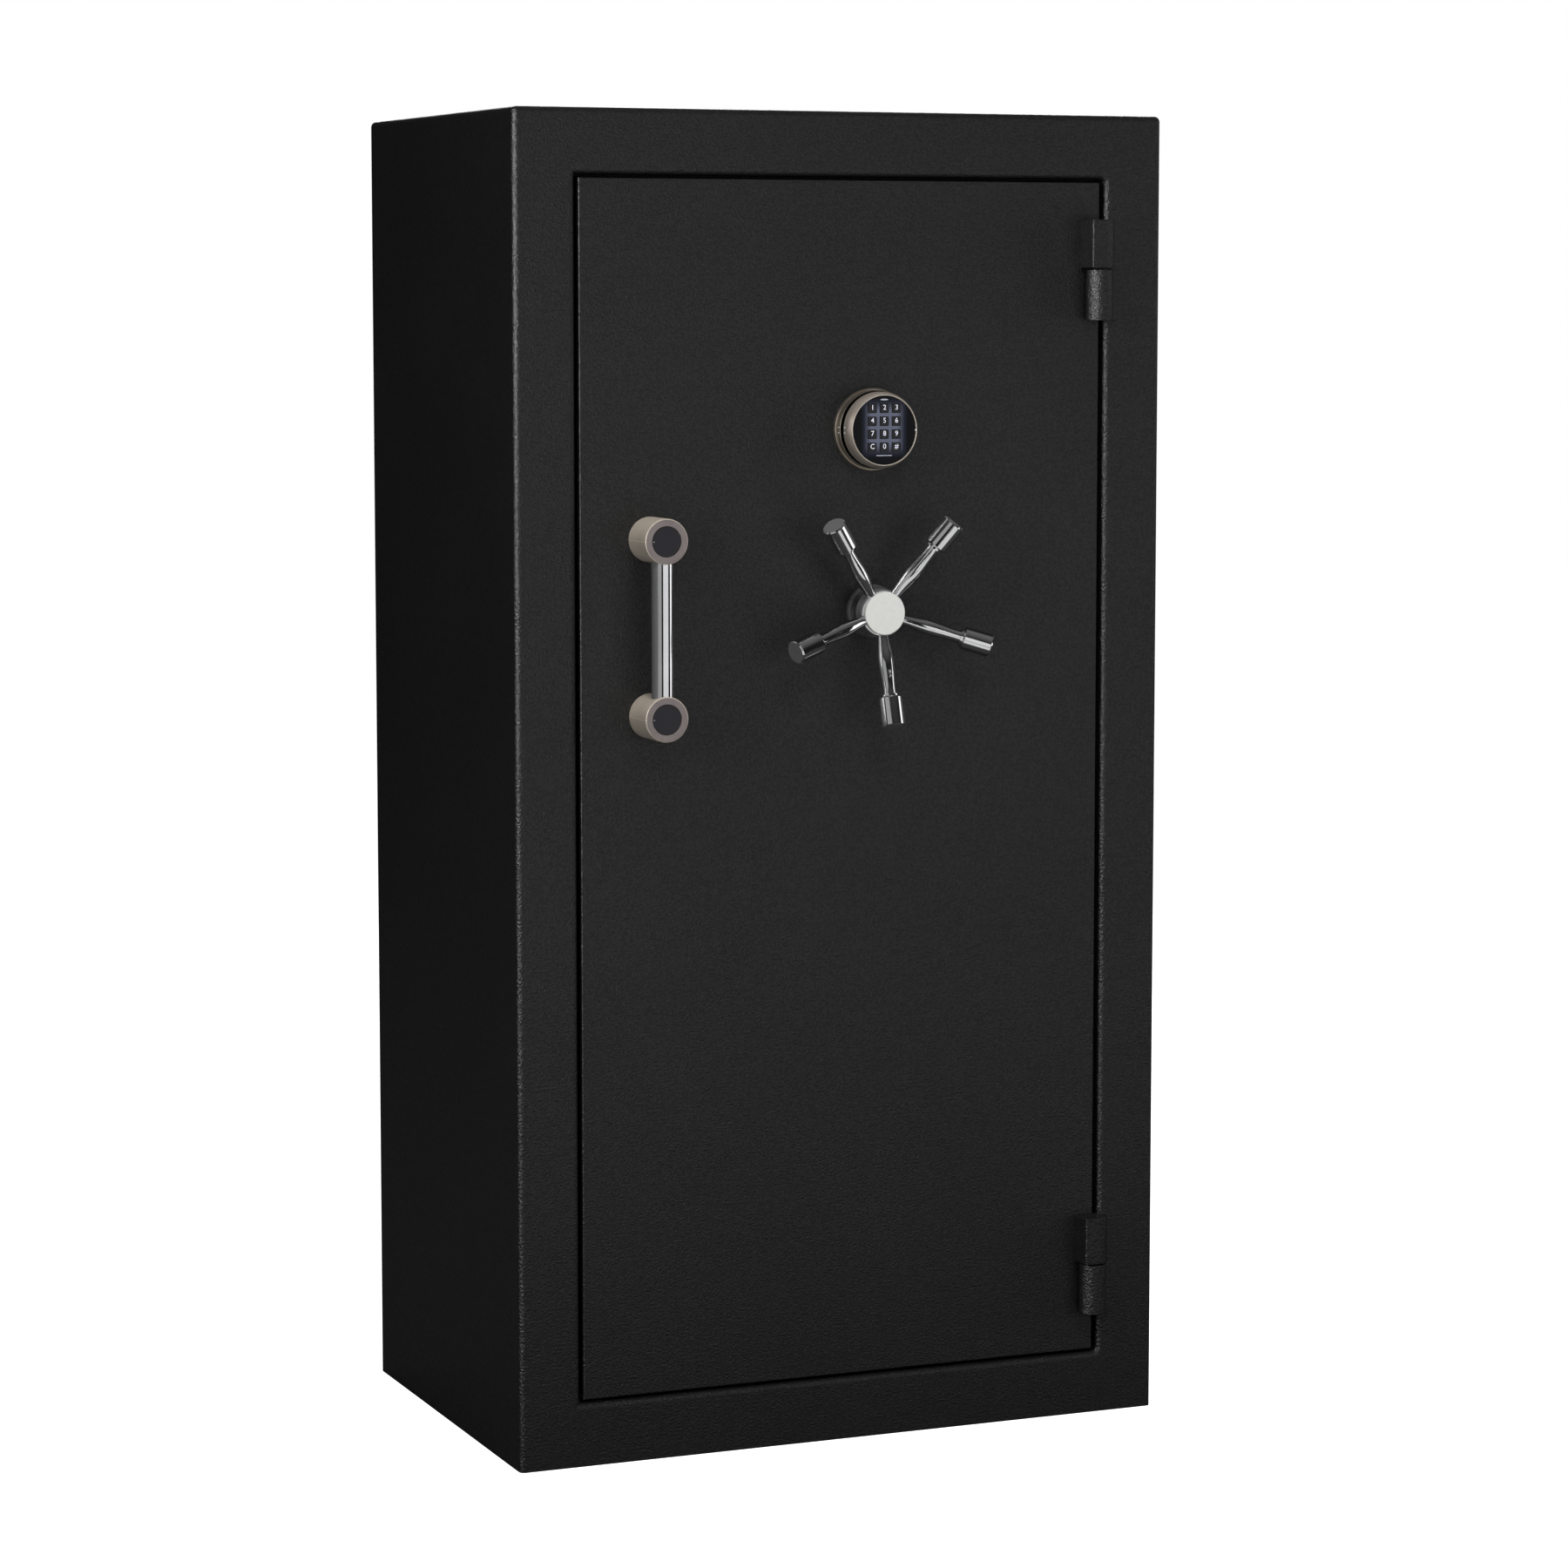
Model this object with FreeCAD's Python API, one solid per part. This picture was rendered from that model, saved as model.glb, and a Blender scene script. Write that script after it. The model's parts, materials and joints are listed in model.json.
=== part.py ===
import FreeCAD, Part
import math
import os

# Gun safe: a fire-lined welded steel body with a hinged door, a five-spoke handle that throws the
# locking bolts on four sides, a round keypad lock with a turning dial ring, and a carpeted interior.
# Millimetres. The origin is at the centre of the base: +X right, +Y to the back, +Z up.
# "Depth" is the distance behind the front face; it is negative in front of it.
# The safe is shut and unlocked: every bolt and the lock bolt are drawn in.

V = FreeCAD.Vector

# Driving dimensions
WIDTH = 864.0
DEPTH = 565.0
HEIGHT = 1657.0
FRONT = -DEPTH / 2

# Body walls
EDGE_R = 7.0            # rounding of the body's outer edges
FRAME_T = 10.0          # front frame plate
SHELL_T = 4.0
FIRE_T = 42.0
LINER_T = 1.5
CARPET_T = 4.0
ANCHOR_R = 7.0
ANCHOR_X = 300.0
ANCHOR_Y = 150.0

# Door opening
OPEN_X = 353.5          # half width
OPEN_Z0 = 79.5
OPEN_Z1 = HEIGHT - 79.5
OPEN_EDGE_R = 8.0
OPEN_CORNER_R = 6.0     # upright corners of the opening on the hinge side
JAMB_T = 4.0
JAMB_DEPTH = 60.0       # depth of the jamb's rear edge

# Door
GAP = 4.0               # round the door plate, except at the hinges
HINGE_GAP = 8.0
DOOR_X0 = -OPEN_X + GAP
DOOR_X1 = OPEN_X - HINGE_GAP
DOOR_Z0 = OPEN_Z0 + GAP
DOOR_Z1 = OPEN_Z1 - GAP
PLATE_T = 8.0
PLUG_X = 338.0          # half width of the part of the door inside the jamb
PLUG_Z0 = DOOR_Z0 + 8.0
PLUG_Z1 = DOOR_Z1 - 8.0
PAN_T = 3.0
BOARD_DEPTH = 40.0      # rear face of the door's fire board
MOUNT_DEPTH = 46.0      # rear face of the plate that carries the bolt work
PANEL_DEPTH = 96.0      # front face of the door's back panel
PANEL_T = 3.0
LINING_T = 3.0

# Hinges
HINGE_X = 337.5
HINGE_Y = FRONT - 18.5
HINGE_HEIGHTS = ((1401.5, 1466.0, 1527.0), (135.5, 200.5, 261.5))   # bottom, split, top
DOOR_KNUCKLE_R = 18.0
KNUCKLE_SIDE = 18.5     # the door's barrels are squared off towards the handle, this far from the pin
KNUCKLE_CORNER_R = 2.0
FRAME_KNUCKLE_R = 17.0
PIN_R = 6.0
RUNNING = 0.05          # radial clearance of a running fit

# Handle and bolt work
HANDLE_X = 33.5
HANDLE_Z = 1043.6
SPOKE_ROOT = (12.5, -32.0)      # distance from the axis and depth
SPOKE_TIP = (137.5, -70.0)
GRIP_R = 14.6
HUB_R = 29.5
HUB_DEPTH = -38.5       # depth of the hub's front, under the cap
HUB_CAP_R = 26.6
CAP_PROUD = 5.5
SHAFT_R = 8.0
THROW = 30.0
PINION_TEETH = 16
PINION_MODULE = 3.0
PINION_R = PINION_TEETH * PINION_MODULE / 2
BOLT_R = 14.0
BOLT_LENGTH = 80.0
BOLT_DEPTH = 80.0       # depth of the bolts' axes
BAR_T = 6.0
SIDE_LAYER = 49.0       # front face of the side carriages' bars
END_LAYER = 59.0        # front face of the top and bottom carriages' bars
BAR_WIDTH = 42.0
STUD_OFFSET = 17.0      # from the bolts' tails to a guide stud
SIDE_BOLTS = (240.0, 620.0, 1130.0, 1420.0)     # heights
END_BOLTS = (-150.0, 150.0)                     # places in x
SIDE_BAR = (205.0, 1455.0)
END_BAR = (-200.0, 200.0)

# Lock
LOCK_Z = 1268.5
LOCK_TEETH = 16
LOCK_MODULE = 1.5
LOCK_PINION_R = LOCK_TEETH * LOCK_MODULE / 2
LOCK_CASE = (HANDLE_X - 41, HANDLE_X + 21, LOCK_Z - 43, LOCK_Z + 43)
LOCK_BOLT_X = HANDLE_X - 20.0
SPINDLE_R = 4.0
DIAL_TRAVEL = math.degrees(1.0)

# Keypad
BASE_R = 51.2
RING_R = 46.8           # at the back; the ring narrows towards its lip
LIP_R = 43.6
RING_BORE_R = 42.4
RING_BACK = -20.5       # depths
RING_LIP = -40.5
CORE_R = 42.0
FACE = -39.0
KEY = 11.8
KEY_PITCH = (16.1, 15.9)
KEYS_UP = 3.0           # the middle of the keys above the keypad's axis
KEY_NAMES = ("1", "2", "3", "4", "5", "6", "7", "8", "9", "clear", "0", "enter")
POST_PLACE_R = 30.0     # from the keypad's axis to the posts that hold its face

# Pull handle
PULL_X = -259.3
PULL_Z = (924.2, 1138.9)
POST_R = 27.7
CAP_R = 18.6
POST_PROUD = 57.0
TUBE_R = 13.3
TUBE_PROUD = 41.5

# Interior
SHELF_T = 18.0
TOP_SHELF_Z = 1340.0
SHELF_Z = (380.0, 700.0, 1020.0)
DIVIDER_X = 52.0
INSIDE_Y0 = FRONT + 120.0

os.makedirs("parts", exist_ok=True)


def export(node, shape):
    shape.exportStep("parts/" + node + ".step")


def group(solids):
    return Part.makeCompound(solids)


def box(x0, x1, d0, d1, z0, z1):
    """A box from its limits in x, depth and z."""
    return Part.makeBox(x1 - x0, d1 - d0, z1 - z0, V(x0, FRONT + d0, z0))


def disc(x, z, r, d0, d1):
    """A cylinder along the depth."""
    return Part.makeCylinder(r, d1 - d0, V(x, FRONT + d0, z), V(0, 1, 0))


def post(x, y, r, z0, z1):
    """A vertical cylinder."""
    return Part.makeCylinder(r, z1 - z0, V(x, y, z0), V(0, 0, 1))


def edges_at(shape, test):
    """The edges whose box passes a test."""
    return [e for e in shape.Edges if test(e.BoundBox)]


def ring_edges(shape, depth, r=None):
    """The circular edges at one depth, of one radius if it is given."""
    found = []
    for e in shape.Edges:
        limits = e.BoundBox
        flat = max(abs(y - FRONT - depth) for y in (limits.YMin, limits.YMax)) < 0.01
        circular = e.Curve.TypeId == "Part::GeomCircle"
        if flat and circular and (r is None or abs(e.Curve.Radius - r) < 0.01):
            found.append(e)
    return found


def ring(outer, inner, d0, d1):
    """Four bars between two rectangles (x0, x1, z0, z1): the sides run the full height."""
    ox0, ox1, oz0, oz1 = outer
    ix0, ix1, iz0, iz1 = inner
    return [
        box(ox0, ix0, d0, d1, oz0, oz1),
        box(ix1, ox1, d0, d1, oz0, oz1),
        box(ix0, ix1, d0, d1, oz0, iz0),
        box(ix0, ix1, d0, d1, iz1, oz1),
    ]


def grow(rectangle, by):
    x0, x1, z0, z1 = rectangle
    return (x0 - by, x1 + by, z0 - by, z1 + by)


OPENING = (-OPEN_X, OPEN_X, OPEN_Z0, OPEN_Z1)
INSIDE_SHELL = (-WIDTH / 2 + SHELL_T, WIDTH / 2 - SHELL_T, SHELL_T, HEIGHT - SHELL_T)
INSIDE_FIRE = grow(INSIDE_SHELL, -FIRE_T)
INSIDE_LINER = grow(INSIDE_FIRE, -LINER_T)
ROOM = grow(INSIDE_LINER, -CARPET_T)
SHELL_BACK = DEPTH - SHELL_T
FIRE_BACK = SHELL_BACK - FIRE_T
LINER_BACK = FIRE_BACK - LINER_T
ROOM_BACK = LINER_BACK - CARPET_T
PLUG = (-PLUG_X, PLUG_X, PLUG_Z0, PLUG_Z1)


# Body

def drill_floor(panels):
    """The four anchor holes through every panel that they meet."""
    drills = [post(sx * ANCHOR_X, sy * ANCHOR_Y, ANCHOR_R, -1, 80) for sx in (-1, 1) for sy in (-1, 1)]
    return [p.cut(drills) if p.BoundBox.ZMax < 80 else p for p in panels]


def rounded_block():
    """The whole body's outside, with rounded upright and top edges."""
    block = box(-WIDTH / 2, WIDTH / 2, 0, DEPTH, 0, HEIGHT)
    soft = edges_at(block, lambda b: b.ZMax > HEIGHT - 1)
    return block.makeFillet(EDGE_R, soft)


def front_frame():
    """A plate round the door opening: four welded bars, and the fillets in two of the opening's corners."""
    plate = rounded_block().common(box(-WIDTH, WIDTH, 0, FRAME_T, 0, HEIGHT))
    hole = box(-OPEN_X, OPEN_X, -1, FRAME_T + 1, OPEN_Z0, OPEN_Z1)
    corners = edges_at(hole, lambda b: b.YLength > FRAME_T and b.XMin > 0)
    plate = plate.cut(hole.makeFillet(OPEN_CORNER_R, corners))
    rim = edges_at(
        plate,
        lambda b: b.YLength < 0.01 and b.YMin < FRONT + 0.01
        and b.XMin > -OPEN_X - 1 and b.XMax < OPEN_X + 1 and b.ZMin > OPEN_Z0 - 1 and b.ZMax < OPEN_Z1 + 1,
    )
    plate = plate.makeFillet(OPEN_EDGE_R, rim)
    limits = ring((-WIDTH, WIDTH, -1, HEIGHT + 1), OPENING, -1, FRAME_T + 1)
    for z0, z1 in ((OPEN_Z0, OPEN_Z0 + 20), (OPEN_Z1 - 20, OPEN_Z1)):
        limits.append(box(OPEN_X - 20, OPEN_X, -1, FRAME_T + 1, z0, z1))
    return [plate.common(bar) for bar in limits]


def outer_shell():
    """Side, top, bottom and back plates behind the front frame."""
    block = rounded_block()
    x0, x1, z0, z1 = INSIDE_SHELL
    limits = ring((-WIDTH, WIDTH, -1, HEIGHT + 1), INSIDE_SHELL, FRAME_T, DEPTH + 1)
    plates = [block.common(bar) for bar in limits]
    plates.append(box(x0, x1, SHELL_BACK, DEPTH, z0, z1))
    return drill_floor(plates)


def fire_board():
    """Boards between shell and liner, and the thicker bars round the door opening."""
    jamb = grow(OPENING, JAMB_T)
    boards = ring(INSIDE_SHELL, jamb, FRAME_T, JAMB_DEPTH)
    boards += ring(INSIDE_SHELL, INSIDE_FIRE, JAMB_DEPTH, SHELL_BACK)
    x0, x1, z0, z1 = INSIDE_FIRE
    boards.append(box(x0, x1, FIRE_BACK, SHELL_BACK, z0, z1))
    return drill_floor(boards)


def inner_liner():
    """Thin steel walls, and a flange that covers the boards behind the jamb."""
    strip_end = JAMB_DEPTH + LINER_T
    sheets = ring(INSIDE_FIRE, OPENING, JAMB_DEPTH, strip_end)
    sheets += ring(INSIDE_FIRE, INSIDE_LINER, strip_end, FIRE_BACK)
    x0, x1, z0, z1 = INSIDE_LINER
    sheets.append(box(x0, x1, LINER_BACK, FIRE_BACK, z0, z1))
    return drill_floor(sheets)


def wall_lining():
    """Carpet on the walls, floor, ceiling and back."""
    start = JAMB_DEPTH + LINER_T
    panels = ring(INSIDE_LINER, ROOM, start, LINER_BACK)
    x0, x1, z0, z1 = ROOM
    panels.append(box(x0, x1, ROOM_BACK, LINER_BACK, z0, z1))
    return drill_floor(panels)


def fire_seal():
    """A strip glued round the inside of the jamb, which swells in a fire."""
    return ring(OPENING, grow(OPENING, -2.0), 34, 54)


# Hinges

def knuckle(z0, z1, r, foot, bore_r, bore_z0, bore_z1):
    """A hinge barrel with a foot that is welded to the front face. The foot is a box's x0, x1 and depth.
    A barrel whose foot starts beyond its own side is squared off there."""
    x0, x1, depth = foot
    whole = post(HINGE_X, HINGE_Y, r, z0, z1).fuse(box(x0, x1, depth, 0, z0, z1))
    if x0 < HINGE_X - r:
        block = box(x0, HINGE_X, HINGE_Y - r - FRONT, depth, z0, z1)
        corner = edges_at(block, lambda b: b.XMax < x0 + 1 and b.YMax < HINGE_Y - r + 1)
        whole = whole.fuse(block.makeFillet(KNUCKLE_CORNER_R, corner))
    whole = whole.removeSplitter()
    rims = edges_at(whole, lambda b: b.ZLength < 0.01 and b.YMin < FRONT - 1)
    bore = post(HINGE_X, HINGE_Y, bore_r, bore_z0, bore_z1)
    return whole.makeFillet(1.0, rims).cut(bore)


def hinges():
    door_half, frame_half, pins, washers = [], [], [], []
    door_foot = (HINGE_X - KNUCKLE_SIDE, DOOR_X1, HINGE_Y - FRONT)
    frame_foot = (HINGE_X + 4, HINGE_X + 29, HINGE_Y - FRONT + 6)
    for low, split, high in HINGE_HEIGHTS:
        frame_half.append(knuckle(low, split - 1, FRAME_KNUCKLE_R, frame_foot, PIN_R, low + 8, split))
        door_half.append(
            knuckle(split + 1, high, DOOR_KNUCKLE_R, door_foot, PIN_R + RUNNING, split, high - 10)
        )
        pins.append(post(HINGE_X, HINGE_Y, PIN_R, low + 8, high - 12))
        washer = post(HINGE_X, HINGE_Y, 10.0, split - 1, split + 0.9)
        washers.append(washer.cut(post(HINGE_X, HINGE_Y, PIN_R, split - 2, split + 2)))
    return door_half, frame_half, pins, washers


# Door

def door_plate():
    plate = box(DOOR_X0, DOOR_X1, 0, PLATE_T, DOOR_Z0, DOOR_Z1)
    plate = plate.makeFillet(1.5, edges_at(plate, lambda b: b.YMax < FRONT + 0.1))
    return plate.cut([disc(HANDLE_X, HANDLE_Z, SHAFT_R + 1, -1, PLATE_T + 1),
                      disc(HANDLE_X, LOCK_Z, SPINDLE_R + 1, -1, PLATE_T + 1)])


def bolt_places():
    """Each bolt's axis: side, x, z."""
    places = [("left", -PLUG_X, z) for z in SIDE_BOLTS]
    places += [("right", PLUG_X, z) for z in SIDE_BOLTS]
    places += [("top", x, PLUG_Z1) for x in END_BOLTS]
    places += [("bottom", x, PLUG_Z0) for x in END_BOLTS]
    return places


def door_pan():
    """The door's four edges inside the jamb, with a hole for each bolt."""
    holes = []
    for side, x, z in bolt_places():
        along = V(1, 0, 0) if side in ("left", "right") else V(0, 0, 1)
        start = V(x, FRONT + BOLT_DEPTH, z) - along * 10
        holes.append(Part.makeCylinder(BOLT_R + 0.3, 20, start, along))
    sides = ring(PLUG, grow(PLUG, -PAN_T), PLATE_T, PANEL_DEPTH)
    return [side.cut(holes) for side in sides]


HARD_PLATE = (HANDLE_X - 80, HANDLE_X + 80, HANDLE_Z - 70, LOCK_Z + 60)


def shaft_holes(d0, d1, more=1.0):
    return [disc(HANDLE_X, HANDLE_Z, SHAFT_R + more, d0, d1),
            disc(HANDLE_X, LOCK_Z, SPINDLE_R + more, d0, d1)]


def door_fire_board():
    x0, x1, z0, z1 = grow(PLUG, -PAN_T)
    board = box(x0, x1, PLATE_T, BOARD_DEPTH, z0, z1)
    hx0, hx1, hz0, hz1 = HARD_PLATE
    pocket = box(hx0, hx1, BOARD_DEPTH - 5, BOARD_DEPTH + 1, hz0, hz1)
    return board.cut([pocket, *shaft_holes(0, BOARD_DEPTH + 1, 4.5)])


def hard_plate():
    """A drill-resistant plate in front of the lock and the handle's pinion."""
    x0, x1, z0, z1 = HARD_PLATE
    return box(x0, x1, BOARD_DEPTH - 5, BOARD_DEPTH, z0, z1).cut(shaft_holes(0, BOARD_DEPTH + 1, 4.5))


def lock_mounting_plate():
    x0, x1, z0, z1 = grow(PLUG, -PAN_T)
    plate = box(x0, x1, BOARD_DEPTH, MOUNT_DEPTH, z0, z1)
    return plate.cut([disc(HANDLE_X, HANDLE_Z, SHAFT_R + 4, 0, 60),
                      disc(HANDLE_X, LOCK_Z, SPINDLE_R + 0.5, 0, 60)])


def shaft_bushing():
    """A flanged bearing for the handle's shaft."""
    bush = disc(HANDLE_X, HANDLE_Z, SHAFT_R + 4, BOARD_DEPTH, MOUNT_DEPTH)
    bush = bush.fuse(disc(HANDLE_X, HANDLE_Z, 17.0, MOUNT_DEPTH, MOUNT_DEPTH + 2))
    return bush.removeSplitter().cut(disc(HANDLE_X, HANDLE_Z, SHAFT_R + RUNNING, 0, 60))


def pull_handle():
    """Two posts joined by a tube, and a round cap in the front of each post."""
    low, high = PULL_Z
    tube = post(PULL_X, FRONT - TUBE_PROUD, TUBE_R, low + 12, high - 12)
    posts, caps = [], []
    for z in PULL_Z:
        body = disc(PULL_X, z, POST_R, -POST_PROUD, 0)
        body = body.makeFillet(2.0, ring_edges(body, -POST_PROUD))
        recess = disc(PULL_X, z, CAP_R + 0.4, -POST_PROUD - 1, -POST_PROUD + 2.0)
        posts.append(body.cut([recess, tube]))
        cap = disc(PULL_X, z, CAP_R, -POST_PROUD + 0.4, -POST_PROUD + 2.0)
        caps.append(cap.makeFillet(0.8, ring_edges(cap, -POST_PROUD + 0.4)))
    return posts, tube, caps


# Gears: a pinion and its racks have the same involute teeth, thinned for a little play

def involute(angle):
    return math.tan(angle) - angle


def pinion_face(teeth, module):
    """The outline of an involute pinion about the origin, in the xz plane."""
    pressure = math.radians(20)
    pitch_r = teeth * module / 2
    base_r = pitch_r * math.cos(pressure)
    root_r = pitch_r - 1.15 * module
    tip_r = pitch_r + 0.8 * module
    half = math.pi / (2 * teeth) - 0.12 * module / pitch_r
    steps = 5
    flank = []
    for i in range(steps + 1):
        r = max(base_r, root_r) + (tip_r - max(base_r, root_r)) * i / steps
        flank.append((r, half + involute(pressure) - involute(math.acos(min(1.0, base_r / r)))))
    points = []
    for k in range(teeth):
        middle = 2 * math.pi * k / teeth
        outline = [(root_r, -flank[0][1])] + [(r, -a) for r, a in flank]
        outline += [(r, a) for r, a in reversed(flank)] + [(root_r, flank[0][1])]
        points += [V(r * math.cos(middle + a), 0, r * math.sin(middle + a)) for r, a in outline]
    return Part.Face(Part.makePolygon(points + [points[0]]))


def pinion(x, z, teeth, module, d0, d1, bore_r):
    gear = pinion_face(teeth, module).extrude(V(0, d1 - d0, 0))
    gear.translate(V(x, FRONT + d0, z))
    return gear.cut(disc(x, z, bore_r, d0 - 1, d1 + 1))


def rack(module, pitch_r, first, last, back, depth0, depth1):
    """A toothed bar above a pinion at the origin: teeth point down, from tooth first to tooth last."""
    pitch = math.pi * module
    slope = math.tan(math.radians(20))
    half = pitch / 4 - 0.12 * module
    tip, root = -0.8 * module, 1.15 * module
    x0, x1 = (first - 0.1) * pitch, (last + 1.1) * pitch
    points = [V(x0, 0, pitch_r + back), V(x0, 0, pitch_r + root)]
    for k in range(first, last + 1):
        middle = (k + 0.5) * pitch
        for x, h in ((-half - root * slope, root), (-half - tip * slope, tip),
                     (half + tip * slope, tip), (half + root * slope, root)):
            points.append(V(middle + x, 0, pitch_r + h))
    points += [V(x1, 0, pitch_r + root), V(x1, 0, pitch_r + back)]
    bar = Part.Face(Part.makePolygon(points + [points[0]])).extrude(V(0, depth1 - depth0, 0))
    bar.translate(V(0, FRONT + depth0, 0))
    return bar


# Bolt work. A carriage is modelled about the handle's axis as if its bolts pointed left, then turned.

def slot(x, z, length, d0, d1):
    """A slot for a guide stud, from the stud's place at rest towards +x."""
    r = 5.4
    ends = [disc(place, z, r, d0, d1) for place in (x, x + length)]
    return box(x, x + length, d0, d1, z - r, z + r).fuse(ends)


def carriage(reach, bolts, bar_z, layer, studs):
    """A bar across the bolts' tails, with the rack that the handle's pinion drives."""
    back = layer + BAR_T
    tail = -reach + BOLT_LENGTH
    bar = box(tail - BAR_WIDTH, tail + BAR_T, layer, back, bar_z[0], bar_z[1])
    web = box(tail, tail + BAR_T, layer, BOLT_DEPTH + BOLT_R, bar_z[0], bar_z[1])
    drive = rack(PINION_MODULE, PINION_R, -2, 5, 22, layer, back)
    x_drive = -2.1 * math.pi * PINION_MODULE
    link = box(tail, x_drive + 1, layer, back, PINION_R + 1.15 * PINION_MODULE, PINION_R + 22)
    tabs = [box(tail, tail + 58, layer, back, z - 15, z + 15) for z in studs]
    body = bar.fuse([web, drive, link, *tabs]).removeSplitter()
    body = body.cut([slot(tail + STUD_OFFSET, z, THROW + 0.5, 0, PANEL_DEPTH) for z in studs])
    rods = []
    for z in bolts:
        rod = Part.makeCylinder(BOLT_R, BOLT_LENGTH, V(-reach, FRONT + BOLT_DEPTH, z), V(1, 0, 0))
        tip = edges_at(rod, lambda b: b.XMax < -reach + 0.1)
        rods.append(rod.makeChamfer(2.0, tip))
    guides = []
    for z in studs:
        x = tail + STUD_OFFSET
        stem = disc(x, z, 5.0, MOUNT_DEPTH, back + 0.5)
        guides.append(stem.fuse(disc(x, z, 9.0, back + 0.5, back + 3.5)).removeSplitter())
    return body, rods, guides


def turned(shape, angle):
    """Turned anticlockwise as seen from the front, and moved from the origin to the handle's axis."""
    shape.rotate(V(0, 0, 0), V(0, -1, 0), angle)
    shape.translate(V(HANDLE_X, 0, HANDLE_Z))
    return shape


def lock_arm(layer):
    """An arm on the left carriage: the lock bolt drops into a notch of it at either end of its travel."""
    top = LOCK_CASE[2] - 4
    arm = box(LOCK_BOLT_X - 14, LOCK_BOLT_X + 44, layer, layer + BAR_T, HANDLE_Z + PINION_R + 20, top)
    notches = [box(x - 5.6, x + 5.6, layer - 1, layer + BAR_T + 1, top - 12, top + 1)
               for x in (LOCK_BOLT_X, LOCK_BOLT_X + THROW)]
    return arm.cut(notches)


def bolt_work():
    """Each side's carriage and bolts, and the studs that guide them all."""
    made, studs = {}, []
    sides = (
        ("left", 0, PLUG_X + HANDLE_X, SIDE_BOLTS, SIDE_BAR, HANDLE_Z, 1, SIDE_LAYER, (330.0, 1340.0)),
        ("right", 180, PLUG_X - HANDLE_X, SIDE_BOLTS, SIDE_BAR, HANDLE_Z, -1, SIDE_LAYER, (330.0, 1340.0)),
        ("top", -90, PLUG_Z1 - HANDLE_Z, END_BOLTS, END_BAR, HANDLE_X, 1, END_LAYER, (-60.0, 170.0)),
        ("bottom", 90, HANDLE_Z - PLUG_Z0, END_BOLTS, END_BAR, HANDLE_X, -1, END_LAYER, (-170.0, 100.0)),
    )
    for name, angle, reach, bolts, bar, middle, sign, layer, stud_places in sides:
        along = [sorted(sign * (p - middle) for p in places) for places in (bolts, bar, stud_places)]
        body, rods, guides = carriage(reach, along[0], along[1], layer, along[2])
        made[name] = (turned(body, angle), [turned(r, angle) for r in rods])
        studs += [turned(g, angle) for g in guides]
    left, rods = made["left"]
    made["left"] = (left.fuse(lock_arm(SIDE_LAYER)).removeSplitter(), rods)
    return made, studs


# Five-spoke handle

def spoke():
    """A turned spoke that points up from the handle's axis and leans forward."""
    run = SPOKE_TIP[0] - SPOKE_ROOT[0]
    rise = SPOKE_ROOT[1] - SPOKE_TIP[1]
    length = math.hypot(run, rise)
    grip = length - 37.0
    shank = [(0, 7.4), (30, 7.8), (47, 9.6), (66, 8.6), (grip - 3, 8.0)]
    curve = Part.BSplineCurve()
    curve.interpolate([V(r, 0, s) for s, r in shank])
    outline = [V(8.0, 0, grip - 3), V(10.4, 0, grip - 3), V(10.4, 0, grip), V(GRIP_R - 1.4, 0, grip),
               V(GRIP_R, 0, grip + 1.5), V(GRIP_R, 0, length - 1.6), V(GRIP_R - 1.6, 0, length),
               V(0, 0, length), V(0, 0, 0), V(7.4, 0, 0)]
    wire = Part.Wire([curve.toShape(), *Part.makePolygon(outline).Edges])
    solid = Part.Face(wire).revolve(V(0, 0, 0), V(0, 0, 1), 360)
    solid.rotate(V(0, 0, 0), V(1, 0, 0), math.degrees(math.atan2(rise, run)))
    solid.translate(V(0, FRONT + SPOKE_ROOT[1], SPOKE_ROOT[0]))
    return solid


def handle():
    spokes = []
    for k in range(5):
        one = spoke()
        spokes.append(turned(one, 36 + 72 * k))
    hub = disc(HANDLE_X, HANDLE_Z, HUB_R, HUB_DEPTH, -20)
    hub = hub.makeFillet(2.5, ring_edges(hub, HUB_DEPTH))
    hub = hub.fuse(disc(HANDLE_X, HANDLE_Z, 20.0, -20, -9)).removeSplitter()
    hub = hub.cut([*spokes, disc(HANDLE_X, HANDLE_Z, SHAFT_R, -35, 0)])
    cap = disc(HANDLE_X, HANDLE_Z, HUB_CAP_R, HUB_DEPTH - CAP_PROUD, HUB_DEPTH)
    cap = cap.makeFillet(1.2, ring_edges(cap, HUB_DEPTH - CAP_PROUD))
    under_cap = disc(HANDLE_X, HANDLE_Z, HUB_CAP_R, -90, HUB_DEPTH)
    spokes = [one.cut(under_cap) for one in spokes]
    shaft = disc(HANDLE_X, HANDLE_Z, SHAFT_R, -35, 69)
    gear = pinion(HANDLE_X, HANDLE_Z, PINION_TEETH, PINION_MODULE, 48.4, 66, SHAFT_R)
    return hub, cap, spokes, shaft, gear


def handle_escutcheon():
    plate = disc(HANDLE_X, HANDLE_Z, 33.5, -8, 0)
    plate = plate.makeChamfer(2.0, ring_edges(plate, -8))
    return plate.cut(disc(HANDLE_X, HANDLE_Z, SHAFT_R + 1, -9, 1))


# Keypad lock

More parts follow.
